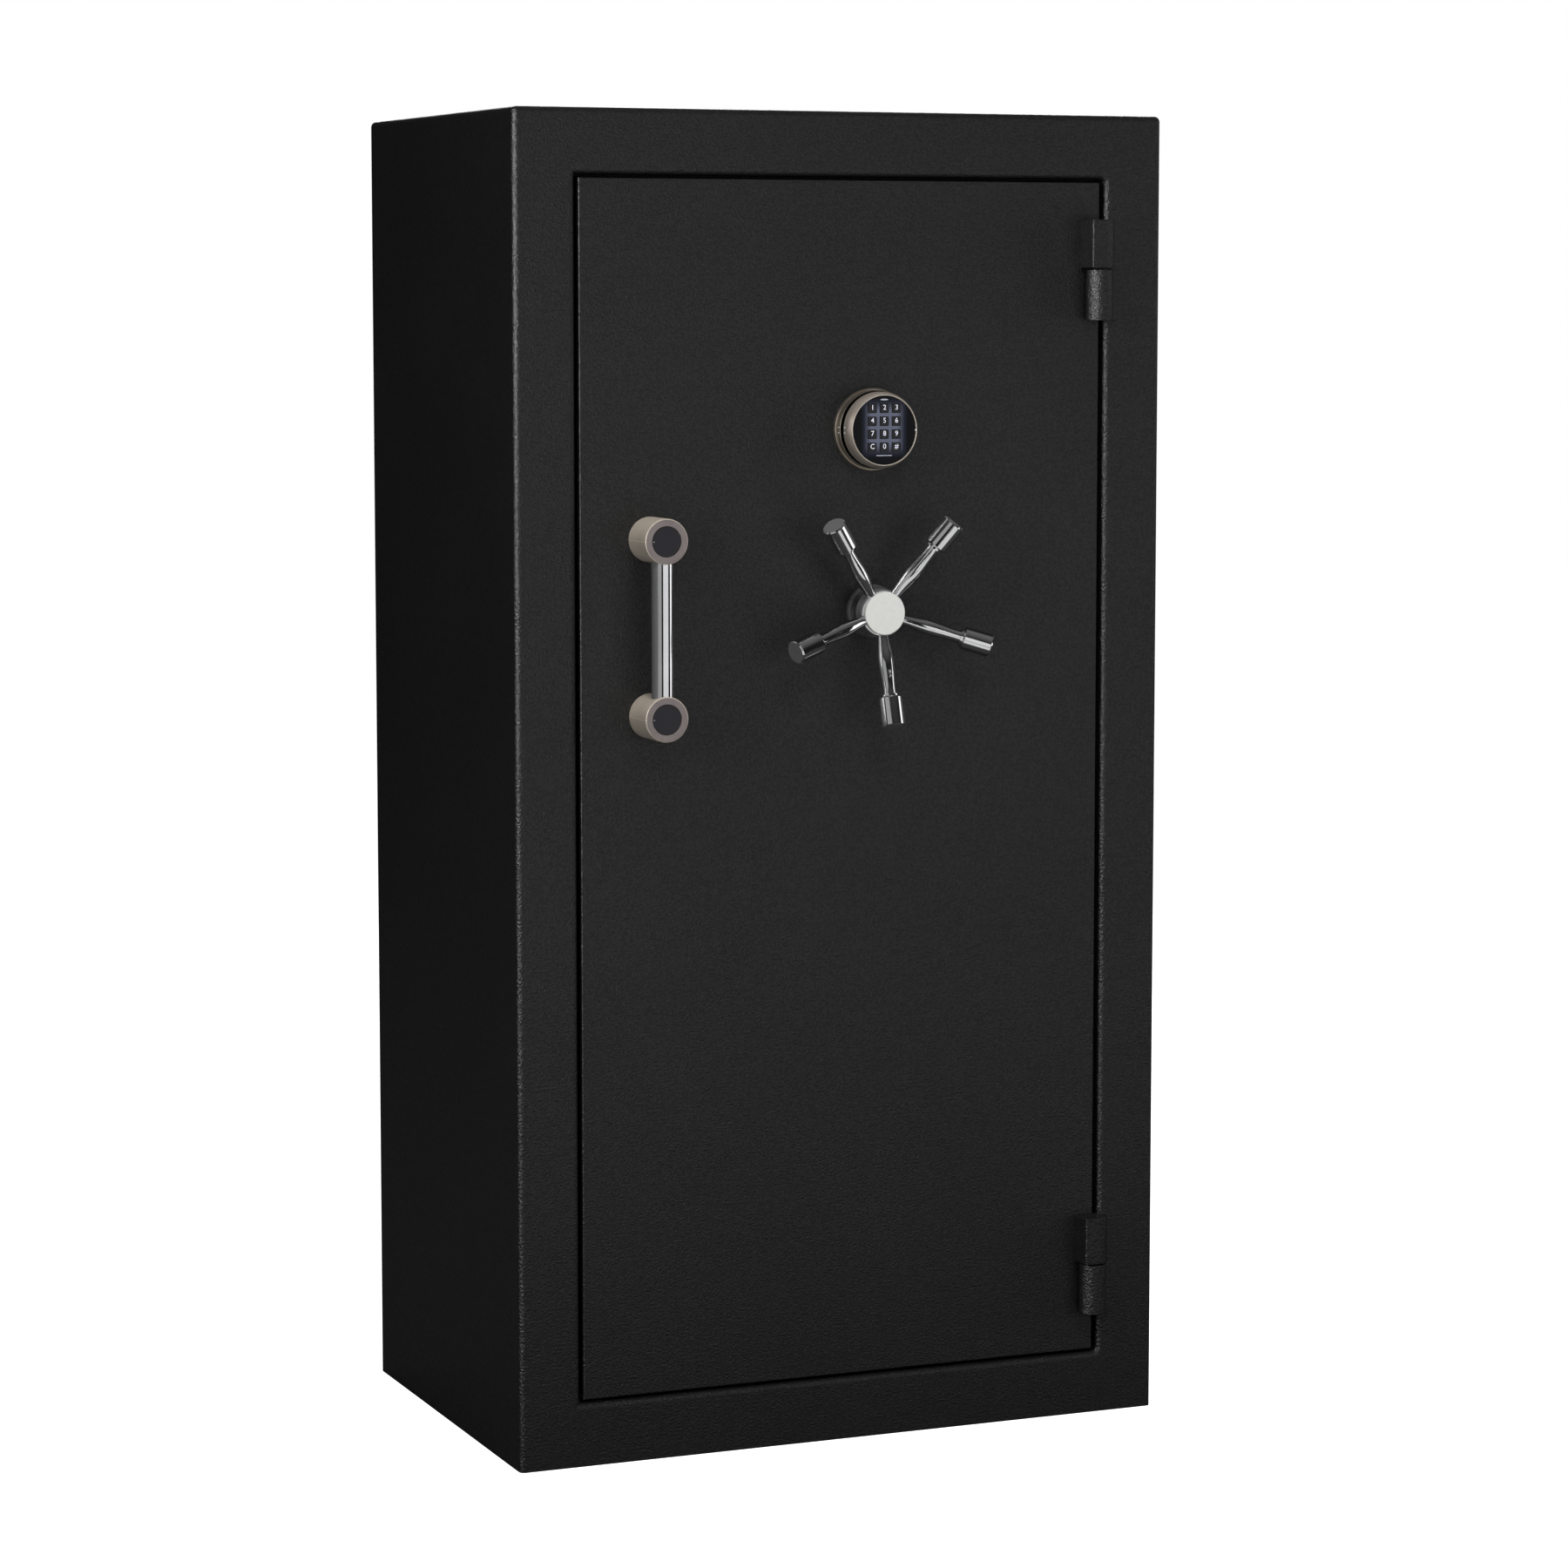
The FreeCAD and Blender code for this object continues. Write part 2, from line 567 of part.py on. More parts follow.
def keypad_base():
    """A flange with a raised step, and a narrow neck that the dial ring turns in front of."""
    flange = disc(HANDLE_X, LOCK_Z, BASE_R, -6, 0)
    flange = flange.makeFillet(1.5, ring_edges(flange, -6))
    step = disc(HANDLE_X, LOCK_Z, BASE_R - 2.6, -14, -5)
    step = step.makeFillet(1.2, ring_edges(step, -14))
    neck = disc(HANDLE_X, LOCK_Z, BASE_R - 9.0, RING_BACK + 0.8, -13)
    base = flange.fuse([step, neck]).removeSplitter()
    return base.cut(disc(HANDLE_X, LOCK_Z, SPINDLE_R + 1, RING_BACK, 1))


def arc_slot(start, end, r, half, d0, d1):
    """A slot along an arc about the keypad's axis, between two angles in degrees."""
    def at(radius, angle):
        a = math.radians(angle)
        return V(HANDLE_X + radius * math.cos(a), FRONT + d0, LOCK_Z + radius * math.sin(a))
    pad = math.degrees(half / r)
    middle = (start + end) / 2
    edges = [
        Part.Arc(at(r + half, start), at(r + half, middle), at(r + half, end)).toShape(),
        Part.Arc(at(r + half, end), at(r, end + pad), at(r - half, end)).toShape(),
        Part.Arc(at(r - half, end), at(r - half, middle), at(r - half, start)).toShape(),
        Part.Arc(at(r - half, start), at(r, start - pad), at(r + half, start)).toShape(),
    ]
    return Part.Face(Part.Wire(edges)).extrude(V(0, d1 - d0, 0))


def dial_ring():
    """The ring that turns to throw the lock bolt. Two slots in its back let the keypad's posts through."""
    web = RING_BACK - 3.0
    start, middle = RING_BACK - 9.0, RING_BACK - 15.0
    shoulder = Part.Arc(
        V(RING_R, start, 0), V(RING_R - 0.9, middle, 0), V(LIP_R, RING_LIP + 0.3, 0)
    ).toShape()
    rest = Part.makePolygon([
        V(LIP_R, RING_LIP + 0.3, 0), V(LIP_R - 0.3, RING_LIP, 0), V(RING_BORE_R + 0.3, RING_LIP, 0),
        V(RING_BORE_R, RING_LIP + 0.3, 0), V(RING_BORE_R, web, 0), V(0, web, 0), V(0, RING_BACK, 0),
        V(RING_R - 1, RING_BACK, 0), V(RING_R, RING_BACK - 1, 0), V(RING_R, start, 0),
    ])
    body = Part.Face(Part.Wire([shoulder, *rest.Edges])).revolve(V(0, 0, 0), V(0, 1, 0), 360)
    body.translate(V(HANDLE_X, FRONT, LOCK_Z))
    slots = [
        arc_slot(a - DIAL_TRAVEL - 2, a + 2, POST_PLACE_R, 3.6, web - 1, RING_BACK + 1) for a in (0, 180)
    ]
    return body.cut([*slots, disc(HANDLE_X, LOCK_Z, SPINDLE_R, web - 1, RING_BACK + 1)])


def key_places():
    """Each key's name and the centre of its front, row by row from the top."""
    across, down = KEY_PITCH
    places = []
    for i, name in enumerate(KEY_NAMES):
        row, column = divmod(i, 3)
        places.append((name, HANDLE_X + (column - 1) * across, LOCK_Z + KEYS_UP + (1.5 - row) * down))
    return places


def keypad_core():
    """The fixed keypad face, on two posts from the base, with a pocket for each key."""
    back = RING_BACK - 4.2
    core = disc(HANDLE_X, LOCK_Z, CORE_R, FACE, back)
    core = core.makeFillet(0.8, ring_edges(core, FACE))
    half = KEY / 2 + 0.3
    pockets = [box(x - half, x + half, FACE - 1, FACE + 6, z - half, z + half) for _, x, z in key_places()]
    posts = [
        disc(HANDLE_X + s * POST_PLACE_R, LOCK_Z, 3.0, back, RING_BACK + 0.8) for s in (-1, 1)
    ]
    return core.cut(pockets).fuse(posts).removeSplitter()


def key(x, z):
    half = KEY / 2
    front = FACE - 1.3
    body = box(x - half, x + half, front, FACE + 4, z - half, z + half)
    body = body.makeFillet(1.9, edges_at(body, lambda b: b.YLength > 1))
    return body.makeFillet(0.5, edges_at(body, lambda b: b.YMax < FRONT + front + 0.1))


def lock_case():
    x0, x1, z0, z1 = LOCK_CASE
    case = box(x0, x1, MOUNT_DEPTH, 72, z0, z1)
    room = box(x0 + 3, x1 - 3, MOUNT_DEPTH + 3, 69, z0 + 3, z1 - 3)
    mouth = box(LOCK_BOLT_X - 5.3, LOCK_BOLT_X + 5.3, MOUNT_DEPTH + 3, 59, z0 - 1, z0 + 4)
    return case.cut([room, mouth, disc(HANDLE_X, LOCK_Z, SPINDLE_R + 0.5, MOUNT_DEPTH - 1, 60)])


def lock_bolt():
    """A sliding bolt with a rack on the side that faces the dial's pinion."""
    pitch_r = LOCK_PINION_R
    teeth = rack(LOCK_MODULE, pitch_r, -3, 5, 13.0, MOUNT_DEPTH + 4, MOUNT_DEPTH + 12)
    teeth.rotate(V(0, 0, 0), V(0, -1, 0), 90)
    teeth.translate(V(HANDLE_X, 0, LOCK_Z))
    nose = box(LOCK_BOLT_X - 5, LOCK_BOLT_X + 5, MOUNT_DEPTH + 4, MOUNT_DEPTH + 12,
               LOCK_CASE[2] - 1, LOCK_Z - 2)
    return teeth.fuse(nose).removeSplitter()


def dial_spindle():
    """A rod from the dial ring, through the door, to the pinion inside the lock."""
    rod = disc(HANDLE_X, LOCK_Z, SPINDLE_R, RING_BACK - 3.0, 66)
    teeth = (MOUNT_DEPTH + 4.5, MOUNT_DEPTH + 11.5)
    gear = pinion(HANDLE_X, LOCK_Z, LOCK_TEETH, LOCK_MODULE, *teeth, SPINDLE_R)
    return rod.fuse(gear).removeSplitter()


# Interior

def barrel_rack():
    """A padded board with a notch for each long gun's barrel."""
    x0, x1 = ROOM[0], DIVIDER_X
    front, back = DEPTH - 205.0, ROOM_BACK
    board = box(x0, x1, front, back, 1040, 1062)
    count = 7
    step = (x1 - x0) / count
    notches = []
    for i in range(count):
        x = x0 + (i + 0.5) * step
        notches.append(post(x, FRONT + front + 26, 17, 1030, 1070))
        notches.append(box(x - 17, x + 17, front - 1, front + 26, 1030, 1070))
    return board.cut(notches)


def interior():
    x0, x1, z0, z1 = ROOM
    front = INSIDE_Y0 - FRONT
    top = box(x0, x1, front, ROOM_BACK, TOP_SHELF_Z, TOP_SHELF_Z + SHELF_T)
    divider = box(DIVIDER_X, DIVIDER_X + 16, front, ROOM_BACK, z0, TOP_SHELF_Z)
    uprights = [
        box(x, x + 2, d, d + 16, z0 + 12, TOP_SHELF_Z - 12)
        for x in (DIVIDER_X + 16, x1 - 2) for d in (front + 50, ROOM_BACK - 60)
    ]
    shelves = [box(DIVIDER_X + 18.5, x1 - 2.5, front + 4, ROOM_BACK - 2, z, z + SHELF_T) for z in SHELF_Z]
    return top, divider, uprights, shelves


def main():
    export("outer_shell", group(outer_shell()))
    export("front_frame", group(front_frame()))
    export("door_jamb", group(ring(grow(OPENING, JAMB_T), OPENING, FRAME_T, JAMB_DEPTH)))
    export("fire_board", group(fire_board()))
    export("inner_liner", group(inner_liner()))
    export("wall_lining", group(wall_lining()))
    export("fire_seal", group(fire_seal()))

    door_half, frame_half, pins, washers = hinges()
    export("door_hinge_knuckles", group(door_half))
    export("frame_hinge_knuckles", group(frame_half))
    export("hinge_pins", group(pins))
    export("thrust_washers", group(washers))

    export("door_plate", door_plate())
    export("door_pan", group(door_pan()))
    export("door_fire_board", door_fire_board())
    export("hard_plate", hard_plate())
    export("lock_mounting_plate", lock_mounting_plate())
    export("shaft_bushing", shaft_bushing())
    x0, x1, z0, z1 = PLUG
    export("door_back_panel", box(x0, x1, PANEL_DEPTH, PANEL_DEPTH + PANEL_T, z0, z1))
    x0, x1, z0, z1 = grow(PLUG, -6.0)
    lining_start = PANEL_DEPTH + PANEL_T
    export("door_lining", box(x0, x1, lining_start, lining_start + LINING_T, z0, z1))

    posts, tube, caps = pull_handle()
    export("pull_handle_posts", group(posts))
    export("pull_handle_tube", tube)
    export("pull_handle_caps", group(caps))

    bolts, studs = bolt_work()
    for side, (body, rods) in bolts.items():
        export(side + "_carriage", body)
        export(side + "_bolts", group(rods))
    export("guide_studs", group(studs))

    hub, cap, spokes, shaft, gear = handle()
    export("handle_hub", hub)
    export("hub_cap", cap)
    export("handle_spokes", group(spokes))
    export("handle_shaft", shaft)
    export("drive_pinion", gear)
    export("handle_escutcheon", handle_escutcheon())

    export("keypad_base", keypad_base())
    export("keypad_core", keypad_core())
    export("dial_ring", dial_ring())
    export("dial_spindle", dial_spindle())
    export("lock_case", lock_case())
    export("lock_bolt", lock_bolt())
    for name, x, z in key_places():
        export("key_" + name, key(x, z))

    top, divider, uprights, shelves = interior()
    export("top_shelf", top)
    export("center_divider", divider)
    export("shelf_standards", group(uprights))
    export("side_shelves", group(shelves))
    export("barrel_rack", barrel_rack())


main()
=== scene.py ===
import bmesh
import bpy
import json
import math
from mathutils import Matrix, Vector


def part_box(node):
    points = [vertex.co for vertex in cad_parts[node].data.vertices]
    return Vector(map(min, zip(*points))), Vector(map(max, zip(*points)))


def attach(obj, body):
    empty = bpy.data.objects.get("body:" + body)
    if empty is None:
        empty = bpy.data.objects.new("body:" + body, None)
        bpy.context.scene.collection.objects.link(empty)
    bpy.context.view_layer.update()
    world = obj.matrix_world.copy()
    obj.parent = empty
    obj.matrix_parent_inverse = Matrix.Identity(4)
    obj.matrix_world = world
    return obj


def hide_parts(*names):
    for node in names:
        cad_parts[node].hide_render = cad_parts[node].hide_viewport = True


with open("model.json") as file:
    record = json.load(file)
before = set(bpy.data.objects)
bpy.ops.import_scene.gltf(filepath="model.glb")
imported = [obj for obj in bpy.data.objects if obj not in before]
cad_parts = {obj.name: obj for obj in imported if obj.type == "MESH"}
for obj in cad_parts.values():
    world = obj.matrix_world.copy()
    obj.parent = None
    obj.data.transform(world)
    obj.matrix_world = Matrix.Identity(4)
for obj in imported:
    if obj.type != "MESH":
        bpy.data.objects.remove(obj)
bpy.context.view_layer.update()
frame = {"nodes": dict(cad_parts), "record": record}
nodes = frame["nodes"]

# Places and sizes, in metres except where a line says otherwise
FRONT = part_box("front_frame")[0].y
LEGEND_SIZE = 0.0088        # of the letters on the keys
LEGEND_RAISED = 0.00008
LEGEND_HEIGHT = 0.58        # of a key's own height
KEYS_UP = 0.003             # the keys' middle above the lock's axis
LENS_UP = 0.0375
LENS_PROFILE = ((0.0011, 0.0004), (0.00105, -0.0003), (0.0008, -0.0006),
                (0.0004, -0.0008), (0, -0.00085))
LENS_STRETCH = 5.0          # its width in heights
BAR_DOWN = 0.0315
BAR_HALF_WIDTH = 0.0105
BAR_HEIGHT = 0.0011
BAR_SPAN = (-0.0002, 0.0003)            # front and back, behind the keypad's face
BASE_STEP = 0.0026          # from the base's flange in to the part with the marks
BASE_MARK_DEPTHS = (0.0085, 0.0120)
RING_MARK_DEPTHS = (0.0225, 0.0270)
MARK_UP = 0.0033
MARK_SPAN = (-0.00015, 0.0008)          # inwards from the side that carries the mark
MARK_HALF_HEIGHT = 0.0005
RING_NOTCH_SPAN = (-0.0058, -0.0045)    # from the ring's right side
RING_NOTCH_DEPTHS = (-0.0003, 0.0008)   # behind the ring's front
RING_NOTCH_HALF_HEIGHT = 0.0007
INSERT_NOTCH_SPAN = (0.0011, 0.0029)    # from an insert's left side
INSERT_NOTCH_DEPTHS = (-0.0002, 0.0006)  # behind the insert's front
INSERT_NOTCH_HALF_HEIGHT = 0.0004
NECK_DEPTH = 0.0138         # where the painted shade on the base's neck starts
FINE_EDGE = 0.0001
GLOW_INNER = 0.021          # full glow up to here from the keys' middle, upwards
GLOW_OUTER = 0.037          # no glow from here on
GLOW_NARROWER = 1.18        # how many times sooner it fades sideways
GLOW_ROUNDING = 0.012
SEAM_HALF = (0.0002, 0.0006)            # a parting line is full up to one, gone at the other
NECK_BLEND = 0.0002
# Reach of the sharp-edge mask that carries the painted highlight on the lock's ring and base
EDGE_HIGHLIGHT_RADIUS = 0.0007
WALL_CARPET = 0.004
WALL_EDGE = 0.0016
SHELF_EDGE = 0.006
PAD_BORDER = 0.030          # from the door lining's edge to its sewn channel
PAD_EDGE = 0.004
PAD_CHANNEL = 0.0035
PAD_CHANNEL_DEPTH = 0.75    # of the pad's thickness
PAD_STOPS = (0, 0.0007, 0.002, 0.004, 0.015, 0.022, 0.0245,
             0.027, 0.030, 0.033, 0.0355, 0.038, 0.045)
PAD_SPANS = (8, 16)         # counts across and up
RACK_VOXEL = 0.0035
RACK_SMOOTHING = 0.6        # a part of the way, each time
RACK_SMOOTHINGS = 5         # a count
SCREW_INSET = 0.012
SCREW_END = 0.06
SCREW_SUNK = 0.0012
SCREWS_PER_SIDE = 6         # a count
SCREW_PROFILE = ((0.0062, 0.0), (0.0062, 0.0008), (0.0045, 0.0009), (0.0042, 0.0018),
                 (0.0030, 0.0027), (0.0017, 0.0030), (0.0014, 0.0019), (0, 0.0019))
FLOOR_SIZE = 14.0
CAMERA_PLACE = (-2.1684, -5.2746, 1.4385)
CAMERA_SENSOR = 36.0        # in mm, like the lens
CAMERA_LENS = 101.308
CAMERA_YAW = 22.669         # in degrees
CAMERA_PITCH = 5.773
CAMERA_SHIFT = -0.03        # of the picture's width
CAMERA_REACH = 60

# Colours and brightness
FLOOR_SEEN = (0.80, 0.80, 0.80)
FLOOR_UNSEEN = (0.06, 0.06, 0.06)
FLOOR_LIFT = 0.95
SURROUND_LOW = (0.35, (0.012, 0.012, 0.0125))
SURROUND_HIGH = (0.95, (0.16, 0.16, 0.163))
PARTING_LINE = (0.92, 0.86, 0.74, 1)
# Painted shade: near-black for the deep groove between the lock's base and ring
NECK_SHADE_BLACK = (0.004, 0.004, 0.004, 1)
SPOKE_END = (0.16, 0.16, 0.162, 1)
# Painted highlights: pale colours laid on the sharp edges of the lock's ring and base
RING_EDGE_HIGHLIGHT = (0.85, 0.78, 0.68, 1)
BASE_EDGE_HIGHLIGHT = (0.80, 0.73, 0.63, 1)

KEY_TEXTS = {str(n): str(n) for n in range(10)} | {"clear": "C", "enter": "#"}


# ---------------------------------------------------------------- node helpers

class Shader:
    """A new material with a Principled shader and short calls for the nodes that feed it."""

    def __init__(self, name, **values):
        self.material = bpy.data.materials.new(name)
        self.material.use_nodes = True
        self.tree = self.material.node_tree
        self.main = self.tree.nodes["Principled BSDF"]
        for key, value in values.items():
            self.main.inputs[key.replace("_", " ")].default_value = value
        self.place = self.tree.nodes.new("ShaderNodeTexCoord").outputs["Object"]

    def node(self, kind, **inputs):
        """A node of that kind. Each input is a value or the output of another node, by its name or,
        as i0, i1 and so on, by its number."""
        made = self.tree.nodes.new("ShaderNode" + kind)
        for key, value in inputs.items():
            by_number = key[0] == "i" and key[1:].isdigit()
            socket = made.inputs[int(key[1:]) if by_number else key.replace("_", " ")]
            if isinstance(value, bpy.types.NodeSocket):
                self.tree.links.new(value, socket)
            else:
                socket.default_value = value
        return made

    def noise(self, scale, detail=2.0, roughness=0.5, vector=None):
        """Noise from 0 to 1. A higher scale makes it finer."""
        return self.node("TexNoise", Vector=vector or self.place, Scale=scale, Detail=detail,
                         Roughness=roughness).outputs["Fac"]

    def stretched(self, x, y, z):
        """The place on the object, scaled by different amounts along its axes."""
        made = self.node("Mapping", Vector=self.place)
        made.inputs["Scale"].default_value = (x, y, z)
        return made.outputs["Vector"]

    def vector_math(self, operation, *values):
        """The result of a vector operation on values or outputs."""
        made = self.node("VectorMath", **{"i" + str(k): value for k, value in enumerate(values)})
        made.operation = operation
        return made.outputs["Value" if operation in ("LENGTH", "DOT_PRODUCT") else "Vector"]

    def from_axis(self, x, z):
        """How far across and up a point is from an axis that runs from front to back."""
        away = self.vector_math("SUBTRACT", self.place, (x, 0, z))
        return self.vector_math("MULTIPLY", away, (1, 0, 1))

    def facing(self):
        """The direction that the surface faces, on the object."""
        return self.tree.nodes["Texture Coordinate"].outputs["Normal"]

    def math(self, operation, a, b=0.0, c=0.0):
        """The result of an operation on up to three numbers or outputs."""
        made = self.node("Math", i0=a, i1=b, i2=c)
        made.operation = operation
        return made.outputs[0]

    def remap(self, value, low, high, to_low, to_high):
        """A value moved from one range to another and kept inside it."""
        made = self.node("MapRange", Value=value, From_Min=low, From_Max=high,
                         To_Min=to_low, To_Max=to_high)
        return made.outputs["Result"]

    def ramp(self, value, *stops):
        """Colours along a value: each stop is a position and a colour."""
        made = self.node("ValToRGB", Fac=value)
        elements = made.color_ramp.elements
        for i, (position, colour) in enumerate(stops):
            element = elements[i] if i < 2 else elements.new(position)
            element.position = position
            element.color = (*colour, 1)
        return made.outputs["Color"]

    def mix(self, amount, a, b):
        """Colour a where the amount is 0 and colour b where it is 1."""
        made = self.tree.nodes.new("ShaderNodeMix")
        made.data_type = "RGBA"
        self.tree.links.new(amount, made.inputs["Factor"])
        for name, value in (("A", a), ("B", b)):
            socket = [i for i in made.inputs if i.name == name and i.type == "RGBA"][0]
            if isinstance(value, bpy.types.NodeSocket):
                self.tree.links.new(value, socket)
            else:
                socket.default_value = value
        return [o for o in made.outputs if o.type == "RGBA"][0]

    def link(self, name, output):
        """Feed an input of the Principled shader."""
        self.tree.links.new(output, self.main.inputs[name])

    def bump(self, height, distance, strength=1.0):
        """Raise the surface by a height from 0 to 1, times a distance."""
        made = self.node("Bump", Height=height, Distance=distance, Strength=strength)
        self.link("Normal", made.outputs["Normal"])

    def edge_wear(self, radius):
        """1 on sharp edges and 0 on flat faces."""
        soft = self.node("Bevel", Radius=radius)
        soft.samples = 4
        plain = self.node("NewGeometry")
        alike = self.vector_math("DOT_PRODUCT", soft.outputs["Normal"], plain.outputs["Normal"])
        return self.remap(alike, 0.995, 0.90, 0.0, 1.0)


# ---------------------------------------------------------------- materials

def body_coat():
    """Near-black powder coat with a fine pebble, a little flattened and shinier on the peaks."""
    s = Shader("body_coat")
    pebble = s.noise(400.0, 2.0, 0.5)
    grain = s.noise(2300.0, 1.0)
    patch = s.noise(5.5, 3.0)
    height = s.math("ADD", s.remap(pebble, 0.3, 0.7, 0.0, 1.0), s.math("MULTIPLY", grain, 0.25))
    tone = s.math("ADD", s.math("MULTIPLY", pebble, 0.6), s.math("MULTIPLY", patch, 0.4))
    s.link("Base Color", s.ramp(tone, (0.30, (0.0050, 0.0050, 0.0052)),
                                (0.72, (0.0110, 0.0110, 0.0113))))
    s.link("Roughness", s.remap(tone, 0.3, 0.7, 0.42, 0.30))
    s.link("Specular IOR Level", s.remap(s.noise(300.0, 1.5), 0.38, 0.62, 0.35, 0.49))
    s.bump(height, 0.0006, 0.9)
    return s.material


def rolled_sheet():
    """Plain rolled steel: streaks along the height, faint oil stains."""
    s = Shader("bare_sheet", Metallic=1.0)
    streak = s.noise(6.0, 6.0, 0.62, s.stretched(60, 60, 1.5))
    stain = s.noise(9.0, 4.0, 0.6)
    tone = s.math("ADD", s.math("MULTIPLY", streak, 0.55), s.math("MULTIPLY", stain, 0.45))
    s.link("Base Color", s.ramp(tone, (0.3, (0.26, 0.265, 0.27)), (0.7, (0.44, 0.445, 0.45))))
    s.link("Roughness", s.remap(tone, 0.3, 0.7, 0.46, 0.28))
    s.bump(streak, 0.00006, 0.5)
    return s.material


def ground_steel():
    """Hardened steel with grinding lines across it."""
    s = Shader("hard_steel", Metallic=1.0)
    line = s.noise(40.0, 5.0, 0.7, s.stretched(2, 2, 45))
    blotch = s.noise(14.0, 3.0)
    s.link("Base Color", s.ramp(s.math("MULTIPLY_ADD", line, 0.6, s.math("MULTIPLY", blotch, 0.4)),
                                (0.3, (0.17, 0.17, 0.185)), (0.75, (0.36, 0.36, 0.38))))
    s.link("Roughness", s.remap(line, 0.3, 0.7, 0.24, 0.42))
    s.bump(line, 0.00004, 0.6)
    return s.material


def zinc_plate(name, dark, light, spangle):
    """Zinc plating: crystals of slightly different greys, with a dull white bloom."""
    s = Shader(name, Metallic=1.0)
    crystal = s.node("TexVoronoi", Vector=s.place, Scale=spangle)
    tone = s.node("SeparateColor", i0=crystal.outputs["Color"]).outputs[0]
    bloom = s.noise(30.0, 4.0, 0.6)
    mixed = s.math("ADD", s.math("MULTIPLY", tone, 0.35), s.math("MULTIPLY", bloom, 0.65))
    s.link("Base Color", s.ramp(mixed, (0.2, dark), (0.8, light)))
    s.link("Roughness", s.remap(mixed, 0.2, 0.8, 0.28, 0.5))
    s.bump(s.noise(900.0), 0.00003, 0.5)
    return s.material


def chrome(name, tint, roughness, axis=None):
    """Polished chrome over buffed metal: hairlines, faint smears and a touch of orange peel. Given the
    x and z of the handle's axis, the faces that look straight away from it are matt grey."""
    s = Shader(name, Metallic=1.0)
    smear = s.noise(26.0, 4.0, 0.55)
    hair = s.noise(180.0, 3.0, 0.6, s.stretched(1, 1, 0.12))
    low = tuple(0.90 * c for c in tint)
    colour = s.ramp(smear, (0.35, low), (0.65, tint))
    gloss = s.math("ADD", s.remap(smear, 0.35, 0.7, roughness, roughness * 1.9),
                   s.math("MULTIPLY", hair, roughness * 0.5))
    if axis:
        outward = s.vector_math("NORMALIZE", s.from_axis(*axis))
        end = s.remap(s.vector_math("DOT_PRODUCT", outward, s.facing()), 0.62, 0.72, 0.0, 1.0)
        colour = s.mix(end, colour, SPOKE_END)
        gloss = s.math("MAXIMUM", gloss, s.math("MULTIPLY", end, 0.5))
        s.link("Metallic", s.remap(end, 0.0, 1.0, 1.0, 0.2))
    s.link("Base Color", colour)
    s.link("Roughness", gloss)
    s.bump(s.math("ADD", s.noise(95.0, 1.0), s.math("MULTIPLY", hair, 0.3)), 0.00002, 0.35)
    return s.material


def satin_cap():
    """Light satin metal, turned on a lathe: rings round the handle's axis."""
    low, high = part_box("hub_cap")
    s = Shader("cap_satin", Metallic=0.25, Specular_IOR_Level=0.5)
    rings = turning_lines(s, low, high, 2600.0)
    dust = s.noise(140.0, 4.0, 0.6)
    tone = s.math("ADD", s.math("MULTIPLY", rings, 0.3), s.math("MULTIPLY", dust, 0.7))
    s.link("Base Color", s.ramp(tone, (0.25, (0.82, 0.825, 0.78)), (0.75, (0.93, 0.935, 0.89))))
    s.link("Roughness", s.remap(tone, 0.3, 0.7, 0.36, 0.48))
    s.bump(rings, 0.00002, 0.5)
    return s.material


def turning_lines(s, low, high, scale):
    """Fine rings about the middle of a box, facing the front."""
    centre = (low + high) / 2
    radius = s.vector_math("LENGTH", s.from_axis(centre.x, centre.z))
    line = s.node("CombineXYZ", X=radius)
    return s.noise(scale, 2.0, 0.6, line.outputs[0])


def satin_nickel(name, node, dark, light, metallic, seams=(), face=None, edge_highlight=None, painted_shade_from=None):
    """Satin bronze-nickel plating with turning marks. A seam is a thin bright parting line at a height,
    face is the pair of colours of what faces the front, the edge colour is a painted highlight laid on
    sharp edges, and painted shade turns the metal near-black in front of the given depth."""
    low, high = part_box(node)
    s = Shader(name, Metallic=metallic, Specular_IOR_Level=0.5)
    rings = turning_lines(s, low, high, 1500.0)
    cloud = s.noise(45.0, 4.0, 0.6)
    tone = s.math("ADD", s.math("MULTIPLY", rings, 0.4), s.math("MULTIPLY", cloud, 0.6))
    colour = s.ramp(tone, (0.25, dark), (0.75, light))
    place = s.node("SeparateXYZ", Vector=s.place)
    line = None
    for seam in seams:
        near = s.math("ABSOLUTE", s.math("SUBTRACT", place.outputs["Z"], seam))
        one = s.remap(near, *SEAM_HALF, 1.0, 0.0)
        line = one if line is None else s.math("MAXIMUM", line, one)
    if line is not None:
        colour = s.mix(line, colour, PARTING_LINE)
    # Painted highlight: a pale colour on the sharp edges
    if edge_highlight:
        colour = s.mix(s.edge_wear(EDGE_HIGHLIGHT_RADIUS), colour, edge_highlight)
    # Painted shade: the metal in front of the given depth turns near-black, for the groove's shadow
    if painted_shade_from:
        neck = s.remap(place.outputs["Y"], painted_shade_from - NECK_BLEND, painted_shade_from, 1.0, 0.0)
        colour = s.mix(neck, colour, NECK_SHADE_BLACK)
    if face:
        forward = s.math("MULTIPLY", s.node("SeparateXYZ", Vector=s.facing()).outputs["Y"], -1.0)
        front = s.remap(forward, 0.80, 0.97, 0.0, 1.0)
        colour = s.mix(front, colour, s.ramp(tone, (0.25, face[0]), (0.75, face[1])))
    s.link("Base Color", colour)
    s.link("Roughness", s.remap(tone, 0.25, 0.75, 0.40, 0.28))
    s.bump(rings, 0.00002, 0.4)
    return s.material


def dark_satin():
    """Dark satin grey of the plate behind the handle."""
    s = Shader("escutcheon_grey", Metallic=0.3, Specular_IOR_Level=0.45)
    speck = s.noise(600.0, 2.0)
    s.link("Base Color", s.ramp(speck, (0.3, (0.060, 0.060, 0.060)), (0.7, (0.110, 0.110, 0.110))))
    s.link("Roughness", s.remap(speck, 0.3, 0.7, 0.34, 0.46))
    s.bump(speck, 0.00006, 0.4)
    return s.material


